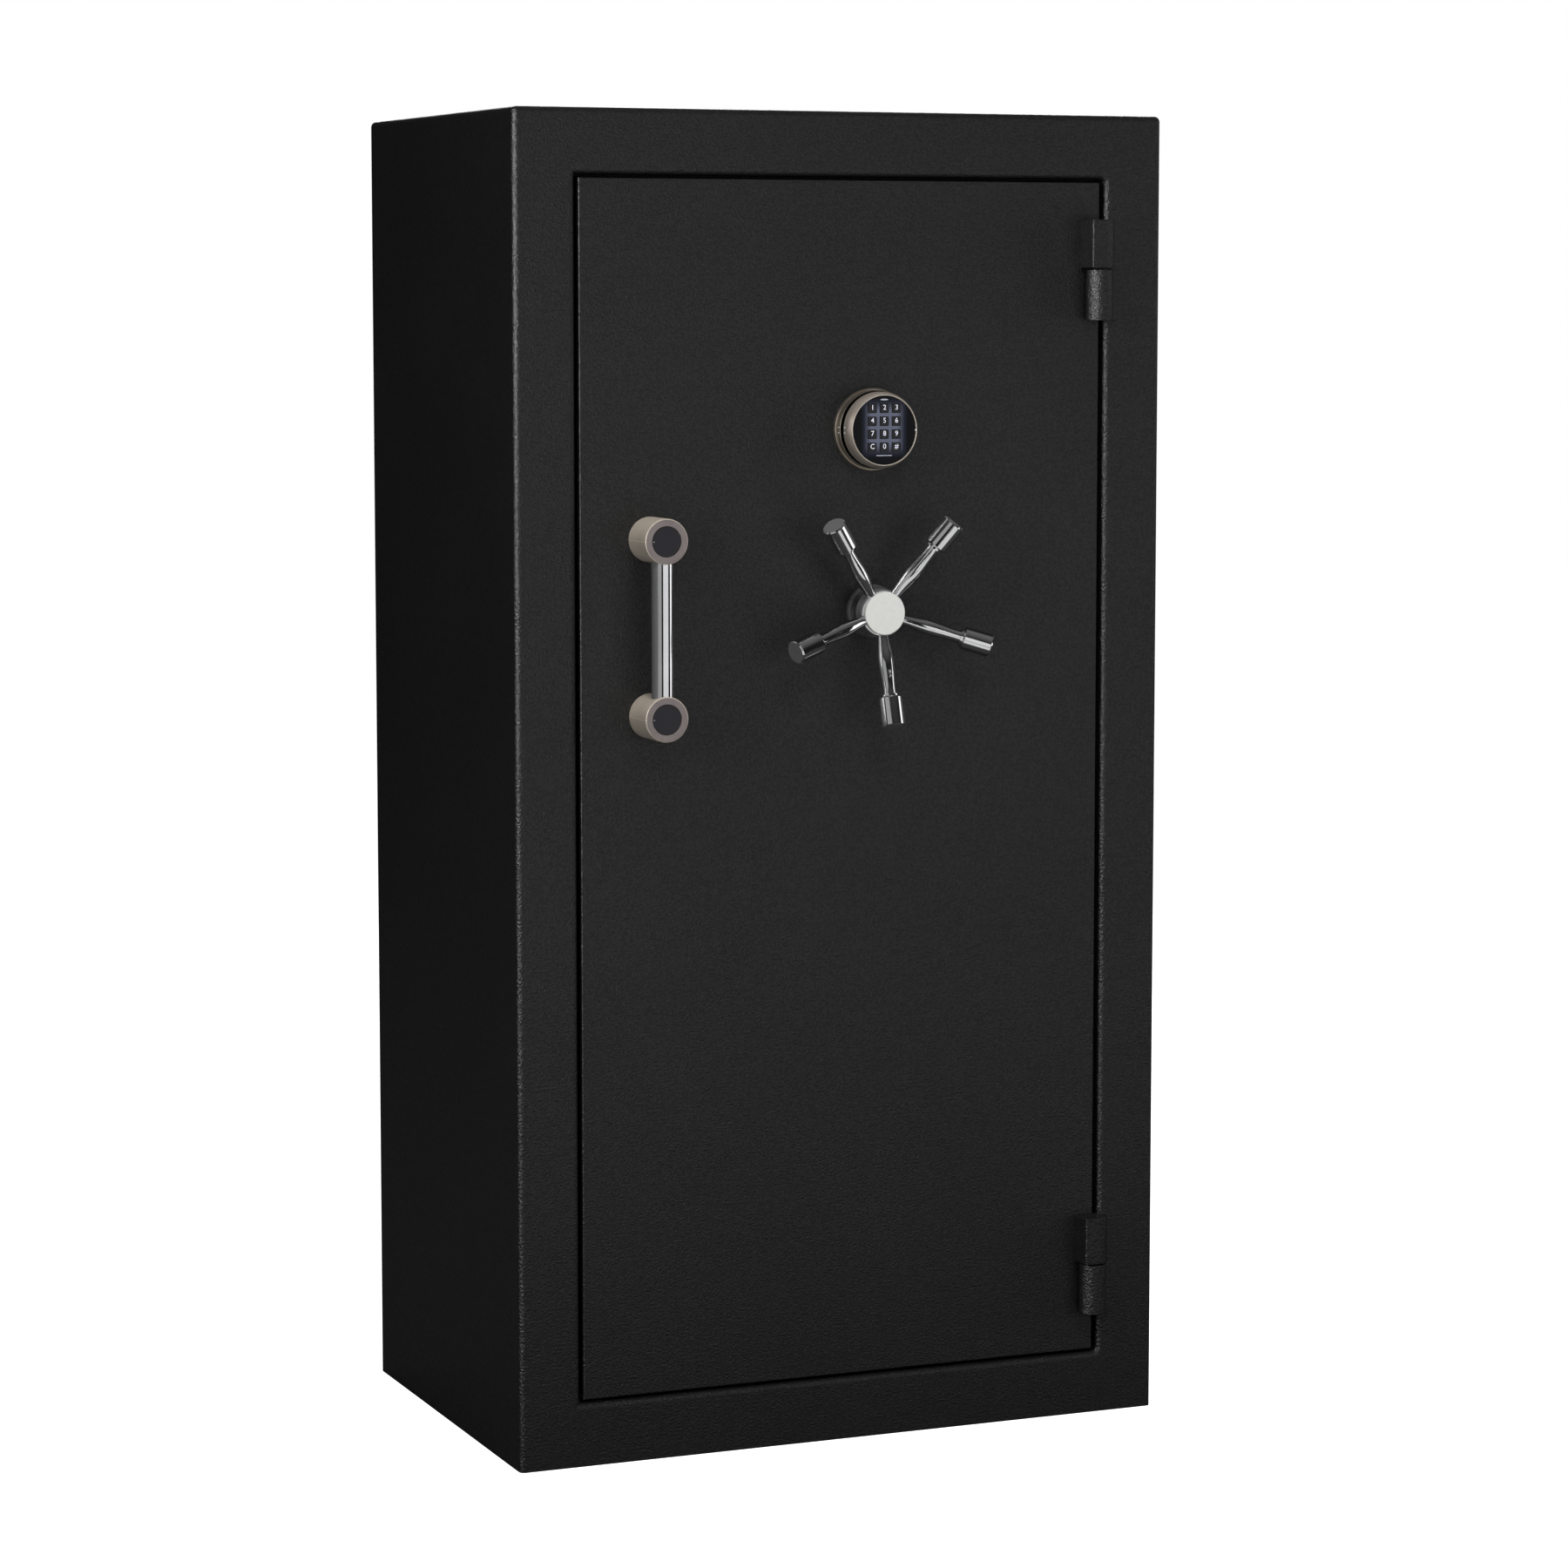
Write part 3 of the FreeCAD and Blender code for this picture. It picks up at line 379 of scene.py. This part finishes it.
def black_insert():
    """Moulded black caps with a fine spark-eroded texture."""
    s = Shader("cap_black", Specular_IOR_Level=0.4)
    grain = s.noise(1500.0, 2.0)
    s.link("Base Color", s.ramp(grain, (0.3, (0.010, 0.009, 0.012)), (0.7, (0.020, 0.018, 0.024))))
    s.link("Roughness", s.remap(grain, 0.3, 0.7, 0.42, 0.58))
    s.bump(grain, 0.00008, 0.5)
    return s.material


def lit_face():
    """The keypad's dark face. A blue glow lies round the keys and fades out before the rim."""
    low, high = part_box("keypad_core")
    centre = (low + high) / 2
    centre.z += KEYS_UP
    s = Shader("keypad_face", Specular_IOR_Level=0.12)
    place = s.node("SeparateXYZ", Vector=s.place)
    across = s.math("ABSOLUTE", s.math("SUBTRACT", place.outputs["X"], centre.x))
    up = s.math("ABSOLUTE", s.math("SUBTRACT", place.outputs["Z"], centre.z))
    square = s.math("SMOOTH_MAX", s.math("MULTIPLY", across, GLOW_NARROWER), up, GLOW_ROUNDING)
    glow = s.remap(square, GLOW_INNER, GLOW_OUTER, 1.0, 0.0)
    dim = s.noise(320.0, 3.0)
    s.link("Base Color", s.ramp(dim, (0.3, (0.002, 0.002, 0.003)), (0.7, (0.004, 0.0045, 0.006))))
    s.link("Roughness", s.remap(dim, 0.3, 0.7, 0.30, 0.42))
    s.link("Emission Color", s.ramp(glow, (0.0, (0.0, 0.0, 0.0)), (0.35, (0.012, 0.014, 0.024)),
                                    (1.0, (0.120, 0.130, 0.180))))
    s.main.inputs["Emission Strength"].default_value = 0.9
    s.bump(dim, 0.00002, 0.3)
    return s.material


def moulded_key():
    """Moulded rubber keys with a fine grain."""
    s = Shader("key_black", Specular_IOR_Level=0.45)
    grain = s.noise(2200.0, 2.0)
    s.link("Base Color", s.ramp(grain, (0.3, (0.004, 0.004, 0.006)), (0.7, (0.010, 0.010, 0.013))))
    s.link("Roughness", s.remap(grain, 0.3, 0.7, 0.34, 0.48))
    s.bump(grain, 0.00004, 0.4)
    return s.material


def legend(name, colour, strength):
    """Pale printing that the keypad's lamp shines through. Where it lies on marks with no lamp behind
    them, the glow is painted highlight.
    """
    s = Shader(name, Roughness=0.5, Emission_Strength=strength)
    ink = s.noise(3000.0, 2.0)
    low = tuple(0.85 * c for c in colour)
    s.link("Base Color", s.ramp(ink, (0.3, low), (0.7, colour)))
    s.link("Emission Color", s.ramp(ink, (0.3, low), (0.7, colour)))
    return s.material


def brass():
    """Turned bearing brass, a little worn."""
    s = Shader("bearing_brass", Metallic=1.0)
    wear = s.noise(120.0, 4.0, 0.6)
    s.link("Base Color", s.ramp(wear, (0.3, (0.42, 0.27, 0.09)), (0.7, (0.66, 0.48, 0.20))))
    s.link("Roughness", s.remap(wear, 0.3, 0.7, 0.36, 0.24))
    s.bump(s.noise(700.0), 0.00003, 0.4)
    return s.material


def oiled_bronze():
    """Bearing washers in near-black bronze: painted shade for the dark split between the hinge knuckles.
    """
    s = Shader("oiled_bronze", Metallic=0.6)
    mottle = s.noise(300.0, 3.0)
    s.link("Base Color", s.ramp(mottle, (0.3, (0.012, 0.009, 0.006)), (0.7, (0.035, 0.026, 0.015))))
    s.link("Roughness", s.remap(mottle, 0.3, 0.7, 0.35, 0.6))
    s.bump(mottle, 0.00003, 0.4)
    return s.material


def die_cast():
    """The lock case's grey casting."""
    s = Shader("lock_grey", Metallic=0.8)
    flow = s.noise(60.0, 5.0, 0.65)
    s.link("Base Color", s.ramp(flow, (0.3, (0.20, 0.20, 0.21)), (0.7, (0.34, 0.34, 0.35))))
    s.link("Roughness", s.remap(flow, 0.3, 0.7, 0.5, 0.38))
    s.bump(s.noise(420.0, 3.0), 0.0001, 0.5)
    return s.material


def gypsum():
    """Pale fire board with flecks."""
    s = Shader("fire_board", Roughness=0.9, Specular_IOR_Level=0.2)
    fleck = s.noise(260.0, 4.0, 0.7)
    s.link("Base Color", s.ramp(fleck, (0.3, (0.52, 0.50, 0.46)), (0.7, (0.70, 0.68, 0.64))))
    s.bump(fleck, 0.0002, 0.6)
    return s.material


def seal():
    """Swelling strip: dull dark rubber with extrusion lines along it."""
    s = Shader("seal_rubber", Specular_IOR_Level=0.3)
    line = s.noise(300.0, 3.0, 0.6, s.stretched(0.2, 4, 0.2))
    s.link("Base Color", s.ramp(line, (0.3, (0.016, 0.016, 0.016)), (0.7, (0.035, 0.034, 0.033))))
    s.link("Roughness", s.remap(line, 0.3, 0.7, 0.62, 0.78))
    s.bump(line, 0.0001, 0.6)
    return s.material


def carpet():
    """Short looped pile: tufts a couple of millimetres across, matted in places."""
    s = Shader("carpet", Roughness=0.95, Specular_IOR_Level=0.12, Sheen_Weight=0.55, Sheen_Roughness=0.5)
    jumble = s.node("TexNoise", Vector=s.place, Scale=420.0).outputs["Color"]
    tuft = s.node("TexVoronoi", Vector=s.vector_math("ADD", s.place, jumble), Scale=520.0)
    fibre = s.noise(1900.0, 4.0, 0.7)
    matted = s.noise(11.0, 3.0)
    pile = s.math("SUBTRACT", 1.0, s.math("MULTIPLY", tuft.outputs["Distance"], 1.2))
    tone = s.math("ADD", s.math("MULTIPLY", pile, 0.35),
                  s.math("ADD", s.math("MULTIPLY", fibre, 0.4), s.math("MULTIPLY", matted, 0.25)))
    s.link("Base Color", s.ramp(tone, (0.3, (0.024, 0.023, 0.022)), (0.55, (0.052, 0.050, 0.047)),
                                (0.8, (0.10, 0.096, 0.090))))
    s.bump(s.math("ADD", pile, s.math("MULTIPLY", fibre, 0.6)), 0.0012, 0.9)
    return s.material


# ---------------------------------------------------------------- mesh helpers

def piece(name, bm, body, material, smooth=30.0):
    """A finished mesh piece that rides on a CAD body."""
    mesh = bpy.data.meshes.new(name)
    bmesh.ops.recalc_face_normals(bm, faces=bm.faces)
    bm.to_mesh(mesh)
    bm.free()
    mesh.materials.append(material)
    made = bpy.data.objects.new(name, mesh)
    bpy.context.scene.collection.objects.link(made)
    if smooth:
        mesh.shade_smooth()
        mesh.set_sharp_from_angle(angle=math.radians(smooth))
    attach(made, body)
    return made


def add_box(bm, low, high, radius, segments=2):
    """A box with rounded edges."""
    low, high = Vector(low), Vector(high)
    made = bmesh.ops.create_cube(bm, size=1.0)["verts"]
    bmesh.ops.scale(bm, vec=high - low, verts=made)
    bmesh.ops.translate(bm, vec=(low + high) / 2, verts=made)
    edges = list({e for v in made for e in v.link_edges})
    bmesh.ops.bevel(bm, geom=edges, offset=radius, segments=segments, profile=0.5, affect="EDGES")


def add_turned(bm, centre, axis, profile, steps=32):
    """A turned surface. The profile's points are (distance from the axis, distance along it), and an
    end that isn't on the axis stays open."""
    turn = Vector((0, 0, 1)).rotation_difference(Vector(axis)).to_matrix()
    rings = []
    for r, along in profile:
        if r == 0:
            rings.append([bm.verts.new(Vector(centre) + turn @ Vector((0, 0, along)))])
            continue
        rings.append([bm.verts.new(Vector(centre) + turn @ Vector(
            (r * math.cos(2 * math.pi * k / steps), r * math.sin(2 * math.pi * k / steps), along)))
            for k in range(steps)])
    for a, b in zip(rings, rings[1:]):
        for k in range(steps):
            n = (k + 1) % steps
            if len(a) == 1:
                bm.faces.new((a[0], b[k], b[n]))
            elif len(b) == 1:
                bm.faces.new((a[k], a[n], b[0]))
            else:
                bm.faces.new((a[k], a[n], b[n], b[k]))


def parts_of(node):
    """The box of each separate solid in a CAD node. Solids that share corners count as one."""
    bm = bmesh.new()
    bm.from_mesh(nodes[node].data)
    bmesh.ops.remove_doubles(bm, verts=bm.verts, dist=1e-6)
    left = set(bm.verts)
    boxes = []
    while left:
        seed = left.pop()
        found, queue = [seed], [seed]
        while queue:
            for e in queue.pop().link_edges:
                for v in e.verts:
                    if v in left:
                        left.remove(v)
                        found.append(v)
                        queue.append(v)
        low = Vector([min(v.co[i] for v in found) for i in range(3)])
        high = Vector([max(v.co[i] for v in found) for i in range(3)])
        boxes.append((low, high))
    bm.free()
    return boxes


# ---------------------------------------------------------------- keypad details

def keypad_details(materials):
    """Legends on the keys, a lamp lens and a bar on the face, and glowing index marks on the base and
    ring: painted highlight.
    """
    white = materials["legend_white"]
    for name, text in KEY_TEXTS.items():
        low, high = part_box("key_" + name)
        curve = bpy.data.curves.new("legend_" + name, "FONT")
        curve.body = text
        curve.size = LEGEND_SIZE
        curve.align_x = "CENTER"
        curve.align_y = "CENTER"
        curve.extrude = LEGEND_RAISED
        curve.resolution_u = 3
        text_object = bpy.data.objects.new("legend_text", curve)
        mesh = bpy.data.meshes.new_from_object(text_object)
        bpy.data.objects.remove(text_object)
        bm = bmesh.new()
        bm.from_mesh(mesh)
        centre = Vector(((low.x + high.x) / 2, low.y, low.z + (high.z - low.z) * LEGEND_HEIGHT))
        bmesh.ops.transform(bm, matrix=Matrix.Translation(centre) @ Matrix.Rotation(math.pi / 2, 4, "X"),
                            verts=bm.verts)
        piece("legend_" + name, bm, "key_" + name, white, smooth=0)

    low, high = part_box("keypad_core")
    x, z, front = (low.x + high.x) / 2, (low.z + high.z) / 2, low.y
    bm = bmesh.new()
    add_turned(bm, (x, front, z + LENS_UP), (0, 1, 0), LENS_PROFILE)
    for v in bm.verts:
        v.co.x = x + (v.co.x - x) * LENS_STRETCH
    piece("keypad_lens", bm, "door", materials["lens"])
    bm = bmesh.new()
    add_box(bm, (x - BAR_HALF_WIDTH, front + BAR_SPAN[0], z - BAR_DOWN),
            (x + BAR_HALF_WIDTH, front + BAR_SPAN[1], z - BAR_DOWN + BAR_HEIGHT), FINE_EDGE)
    piece("keypad_bar", bm, "door", materials["legend_dim"])

    ring_low, ring_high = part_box("dial_ring")
    middle = (ring_low.z + ring_high.z) / 2
    # The index marks glow in the legend white with no lamp behind them: painted highlight on the left of
    # the base and ring
    for name, body, node, step, depths in (
        ("base_marks", "door", "keypad_base", BASE_STEP, BASE_MARK_DEPTHS),
        ("ring_marks", "dial", "dial_ring", 0, RING_MARK_DEPTHS),
    ):
        low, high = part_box(node)
        outer = (high.x - low.x) / 2 - step
        bm = bmesh.new()
        for up in (-MARK_UP, MARK_UP):
            left = x - math.sqrt(outer ** 2 - up ** 2)
            at = middle + up
            add_box(bm, (left + MARK_SPAN[0], FRONT - depths[1], at - MARK_HALF_HEIGHT),
                    (left + MARK_SPAN[1], FRONT - depths[0], at + MARK_HALF_HEIGHT), FINE_EDGE)
        piece(name, bm, body, white)

    # A glowing white notch on the ring's right side: painted highlight
    (x0, x1), (y0, y1) = RING_NOTCH_SPAN, RING_NOTCH_DEPTHS
    bm = bmesh.new()
    add_box(bm, (ring_high.x + x0, ring_low.y + y0, middle - RING_NOTCH_HALF_HEIGHT),
            (ring_high.x + x1, ring_low.y + y1, middle + RING_NOTCH_HALF_HEIGHT), FINE_EDGE)
    piece("ring_notch", bm, "dial", white)


# ---------------------------------------------------------------- pull handle details

def insert_notches(materials):
    """A small pale notch on the left of each black insert of the pull handle. It glows faintly with no
    lamp behind it: painted highlight.
    """
    (x0, x1), (y0, y1) = INSERT_NOTCH_SPAN, INSERT_NOTCH_DEPTHS
    bm = bmesh.new()
    for low, high in parts_of("pull_handle_caps"):
        z = (low.z + high.z) / 2
        add_box(bm, (low.x + x0, low.y + y0, z - INSERT_NOTCH_HALF_HEIGHT),
                (low.x + x1, low.y + y1, z + INSERT_NOTCH_HALF_HEIGHT), FINE_EDGE)
    # The notches glow though no lamp lies behind them: painted highlight
    piece("insert_notches", bm, "door", materials["legend_dim"])


# ---------------------------------------------------------------- carpeted interior

def covered(name, node, radius, materials, boards=None):
    """Carpet-wrapped boards with soft edges in place of a CAD node: the given boxes, or else one for
    each solid."""
    bm = bmesh.new()
    for low, high in boards or parts_of(node):
        add_box(bm, low, high, min(radius, 0.48 * min(high - low)), 3)
    made = piece(name, bm, "root", materials["carpet"], smooth=60)
    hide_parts(node)


def wall_boards():
    """The five carpeted panels of the room: two sides, floor, ceiling and back."""
    low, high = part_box("wall_lining")
    left, right = low.x + WALL_CARPET, high.x - WALL_CARPET
    bottom, top = low.z + WALL_CARPET, high.z - WALL_CARPET
    return [
        (low, Vector((left, high.y, high.z))),
        (Vector((right, low.y, low.z)), high),
        (Vector((left, low.y, low.z)), Vector((right, high.y, bottom))),
        (Vector((left, low.y, top)), Vector((right, high.y, high.z))),
        (Vector((left, high.y - WALL_CARPET, bottom)), Vector((right, high.y, top))),
    ]


def door_pad(materials):
    """The door's padded inner lining: rounded edges, and a sewn channel inside the border."""
    low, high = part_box("door_lining")
    full = high.y - low.y

    def rear(x, z):
        """How far back the pad reaches at a place."""
        inset = min(x - low.x, high.x - x, z - low.z, high.z - z)
        edge = math.sqrt(max(0.0, 1 - (1 - min(inset / PAD_EDGE, 1)) ** 2))
        channel = math.exp(-((inset - PAD_BORDER) / PAD_CHANNEL) ** 2)
        return low.y + full * edge * (1 - PAD_CHANNEL_DEPTH * channel)

    def lines(start, end, spans):
        """Places across the pad: close together at the edges and the channels, even spans between."""
        last = PAD_STOPS[-1]
        between = [start + last + (end - start - 2 * last) * t / spans for t in range(1, spans)]
        return [start + s for s in PAD_STOPS] + between + [end - s for s in reversed(PAD_STOPS)]

    bm = bmesh.new()
    xs = lines(low.x, high.x, PAD_SPANS[0])
    zs = lines(low.z, high.z, PAD_SPANS[1])
    rows = [[bm.verts.new((x, rear(x, z), z)) for z in zs] for x in xs]
    flat = [[bm.verts.new((x, low.y, z)) for z in zs] for x in xs]
    for i in range(len(xs) - 1):
        for k in range(len(zs) - 1):
            bm.faces.new((rows[i][k], rows[i][k + 1], rows[i + 1][k + 1], rows[i + 1][k]))
            bm.faces.new((flat[i][k], flat[i + 1][k], flat[i + 1][k + 1], flat[i][k + 1]))
    bmesh.ops.remove_doubles(bm, verts=bm.verts, dist=1e-6)
    made = piece("door_pad", bm, "door", materials["carpet"], smooth=0)
    made.data.shade_smooth()
    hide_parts("door_lining")


def rack_pad(materials):
    """The barrel rack: the notched board wrapped in carpet, its edges rounded by the cloth."""
    mesh = nodes["barrel_rack"].data.copy()
    made = bpy.data.objects.new("rack_pad", mesh)
    bpy.context.scene.collection.objects.link(made)
    remesh = made.modifiers.new("remesh", "REMESH")
    remesh.mode = "VOXEL"
    remesh.voxel_size = RACK_VOXEL
    smooth = made.modifiers.new("smooth", "SMOOTH")
    smooth.factor = RACK_SMOOTHING
    smooth.iterations = RACK_SMOOTHINGS
    depsgraph = bpy.context.evaluated_depsgraph_get()
    done = bpy.data.meshes.new_from_object(made.evaluated_get(depsgraph))
    bpy.data.objects.remove(made)
    bm = bmesh.new()
    bm.from_mesh(done)
    made = piece("rack_pad", bm, "root", materials["carpet"], smooth=0)
    made.data.shade_smooth()
    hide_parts("barrel_rack")


def screws(materials):
    """Pan-head screws with washers down both sides of the door's back panel."""
    low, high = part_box("door_lining")
    span = high.z - low.z - 2 * SCREW_END
    bm = bmesh.new()
    for x in (low.x + SCREW_INSET, high.x - SCREW_INSET):
        for k in range(SCREWS_PER_SIDE):
            z = low.z + SCREW_END + span * k / (SCREWS_PER_SIDE - 1)
            add_turned(bm, (x, high.y - SCREW_SUNK, z), (0, 1, 0), SCREW_PROFILE, 20)
    piece("panel_screws", bm, "door", materials["hard_steel"])


# ---------------------------------------------------------------- stage

def aim(made, target):
    """Turn a light to face a point."""
    made.rotation_euler = (Vector(target) - made.location).to_track_quat("-Z", "Y").to_euler()


def area_light(name, place, target, width, height, power, mirrored=True, spread=True, only=None):
    """A soft light that the camera doesn't see. If it isn't mirrored, glossy parts don't show it. If
    it isn't spread, it makes highlights and lights nothing else. It can be kept to some parts only."""
    light = bpy.data.lights.new(name, "AREA")
    light.shape = "RECTANGLE"
    light.size, light.size_y = width, height
    light.energy = power
    made = bpy.data.objects.new(name, light)
    bpy.context.scene.collection.objects.link(made)
    made.location = place
    made.visible_camera = False
    made.visible_glossy = mirrored
    made.visible_diffuse = spread
    if only:
        group = bpy.data.collections.new(name + "_parts")
        for part in only:
            group.objects.link(part)
        made.light_linking.receiver_collection = group
    aim(made, target)


def surround():
    """White to the camera, and a dim sky to everything else."""
    world = bpy.data.worlds.new("studio")
    bpy.context.scene.world = world
    world.use_nodes = True
    tree = world.node_tree
    seen = tree.nodes["Background"]
    seen.inputs["Color"].default_value = (1, 1, 1, 1)
    unseen = tree.nodes.new("ShaderNodeBackground")
    up = tree.nodes.new("ShaderNodeSeparateXYZ")
    place = tree.nodes.new("ShaderNodeTexCoord")
    tree.links.new(place.outputs["Generated"], up.inputs[0])
    ramp = tree.nodes.new("ShaderNodeValToRGB")
    for element, (position, colour) in zip(ramp.color_ramp.elements, (SURROUND_LOW, SURROUND_HIGH)):
        element.position = position
        element.color = (*colour, 1)
    tree.links.new(up.outputs["Z"], ramp.inputs[0])
    tree.links.new(ramp.outputs[0], unseen.inputs["Color"])
    mix = tree.nodes.new("ShaderNodeMixShader")
    path = tree.nodes.new("ShaderNodeLightPath")
    tree.links.new(path.outputs["Is Camera Ray"], mix.inputs[0])
    tree.links.new(unseen.outputs[0], mix.inputs[1])
    tree.links.new(seen.outputs[0], mix.inputs[2])
    tree.links.new(mix.outputs[0], tree.nodes["World Output"].inputs["Surface"])


def pale_floor():
    """White to the camera, and dark to everything else."""
    bm = bmesh.new()
    bmesh.ops.create_grid(bm, x_segments=2, y_segments=2, size=FLOOR_SIZE)
    mesh = bpy.data.meshes.new("floor")
    bm.to_mesh(mesh)
    bm.free()
    floor = bpy.data.objects.new("floor", mesh)
    bpy.context.scene.collection.objects.link(floor)
    s = Shader("floor", Roughness=0.9, Specular_IOR_Level=0.0)
    seen = s.node("LightPath").outputs["Is Camera Ray"]
    s.link("Base Color", s.ramp(seen, (0.0, FLOOR_UNSEEN), (1.0, FLOOR_SEEN)))
    s.link("Emission Color", s.ramp(seen, (0.0, (0, 0, 0)), (1.0, (1, 1, 1))))
    s.main.inputs["Emission Strength"].default_value = FLOOR_LIFT
    mesh.materials.append(s.material)


def lights():
    """A key light and a fill, and cards that the metal and the coat mirror."""
    middle = (0, 0, 0.85)
    subparts = frame["record"]["subparts"]
    coated = [nodes[part["node"]] for part in subparts if part["material_slot"] == "body_coat"]
    plated = [nodes[name] for name in ("dial_ring", "keypad_base", "pull_handle_posts")]
    area_light("key", (-0.5, -3.6, 3.6), (0, -0.2, 1.2), 1.5, 1.2, 95, mirrored=False)
    area_light("top", (0, -0.2, 4.6), (0, 0, 0), 2.6, 2.6, 60, mirrored=False)
    left, left_target = (-3.1, -1.25, 1.55), (-0.3, -0.3, 1.15)
    area_light("left_fill", left, left_target, 1.3, 2.0, 18, mirrored=False)
    area_light("left_card", left, left_target, 1.3, 2.0, 13, spread=False)
    area_light("edge_card", (-3.0, -1.6, 2.1), (-0.4, -0.3, 1.5), 2.0, 1.8, 210,
               spread=False, only=coated)
    area_light("plate_card", (-2.6, -2.2, 1.6), (0, -0.3, 1.1), 1.6, 1.8, 40,
               spread=False, only=plated)
    area_light("left_wide", (-3.0, -2.2, 1.2), (-0.2, -0.3, 1.1), 3.2, 2.6, 10, spread=False)
    area_light("front_card", (0.9, -4.5, 1.05), (0.0, -0.3, 0.95), 4.6, 2.4, 30)
    area_light("low_card", (-0.6, -2.6, 0.02), (-0.6, -2.6, 3.0), 4.4, 2.4, 24)
    area_light("right_card", (3.4, -1.2, 1.2), middle, 1.4, 2.0, 13)
    area_light("back", (1.6, 3.8, 2.6), middle, 2.4, 2.0, 90)


def camera():
    """The photograph's view."""
    data = bpy.data.cameras.new("camera")
    data.sensor_width = CAMERA_SENSOR
    data.lens = CAMERA_LENS
    data.shift_y = CAMERA_SHIFT
    data.clip_end = CAMERA_REACH
    made = bpy.data.objects.new("camera", data)
    bpy.context.scene.collection.objects.link(made)
    made.location = CAMERA_PLACE
    yaw, pitch = math.radians(CAMERA_YAW), math.radians(CAMERA_PITCH)
    level = math.cos(pitch)
    direction = Vector((math.sin(yaw) * level, math.cos(yaw) * level, -math.sin(pitch)))
    made.rotation_euler = direction.to_track_quat("-Z", "Y").to_euler()
    bpy.context.scene.camera = made


def all_materials():
    """Each material by the name of its slot in the record, and the keypad's printing."""
    low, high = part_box("handle_hub")
    handle_axis = ((low.x + high.x) / 2, (low.z + high.z) / 2)
    return {
        "body_coat": body_coat(),
        "bare_sheet": rolled_sheet(),
        "hard_steel": ground_steel(),
        "carriage_steel": zinc_plate("carriage_steel", (0.22, 0.225, 0.24), (0.40, 0.41, 0.43), 160.0),
        "bolt_chrome": chrome("bolt_chrome", (0.80, 0.81, 0.83), 0.07),
        "spoke_chrome": chrome("spoke_chrome", (0.74, 0.74, 0.75), 0.060, handle_axis),
        "cap_satin": satin_cap(),
        "escutcheon_grey": dark_satin(),
        # The dial ring gets a painted highlight on its sharp edges
        "satin_nickel": satin_nickel("satin_nickel", "dial_ring", (0.40, 0.345, 0.29),
                                     (0.54, 0.475, 0.41), 0.5, edge_highlight=RING_EDGE_HIGHLIGHT),
        "cap_black": black_insert(),
        "keypad_face": lit_face(),
        "key_black": moulded_key(),
        "bearing_brass": brass(),
        "lock_grey": die_cast(),
        "fire_board": gypsum(),
        "seal_rubber": seal(),
        "carpet": carpet(),
        "standard_zinc": zinc_plate("standard_zinc", (0.42, 0.43, 0.45), (0.62, 0.63, 0.65), 240.0),
        "legend_white": legend("legend_white", (0.70, 0.71, 0.80), 0.55),
        "legend_dim": legend("legend_dim", (0.42, 0.43, 0.50), 0.2),
        "lens": legend("lens", (0.42, 0.43, 0.50), 0.25),
    }


def finish_nodes(materials):
    """The materials of the CAD nodes. Three nodes differ from others that share their slot."""
    for part in frame["record"]["subparts"]:
        node = nodes[part["node"]]
        node.data.materials.clear()
        node.data.materials.append(materials[part["material_slot"]])
    seams = [(low.z + high.z) / 2 for low, high in parts_of("pull_handle_caps")]
    front_rings = ((0.17, 0.145, 0.14), (0.25, 0.215, 0.21))
    nodes["pull_handle_posts"].data.materials[0] = satin_nickel(
        "post_nickel", "pull_handle_caps", (0.60, 0.525, 0.43), (0.74, 0.655, 0.545), 0.2,
        seams, front_rings)
    # The keypad base gets a painted highlight on its sharp edges and painted shade on its neck
    nodes["keypad_base"].data.materials[0] = satin_nickel(
        "base_nickel", "keypad_base", (0.17, 0.145, 0.115), (0.26, 0.225, 0.185), 0.8,
        edge_highlight=BASE_EDGE_HIGHLIGHT, painted_shade_from=FRONT - NECK_DEPTH)
    # Near-black washers: painted shade in the split between the hinge knuckles
    nodes["thrust_washers"].data.materials[0] = oiled_bronze()


def main():
    """Dress the CAD parts, add the pieces made here, and set the stage."""
    materials = all_materials()
    finish_nodes(materials)
    keypad_details(materials)
    insert_notches(materials)
    covered("wall_carpet", "wall_lining", WALL_EDGE, materials, wall_boards())
    covered("top_shelf_cover", "top_shelf", SHELF_EDGE, materials)
    covered("divider_cover", "center_divider", SHELF_EDGE, materials)
    covered("shelf_covers", "side_shelves", SHELF_EDGE, materials)
    door_pad(materials)
    rack_pad(materials)
    screws(materials)
    surround()
    pale_floor()
    lights()
    camera()
    bpy.context.scene.view_settings.view_transform = "Standard"


main()
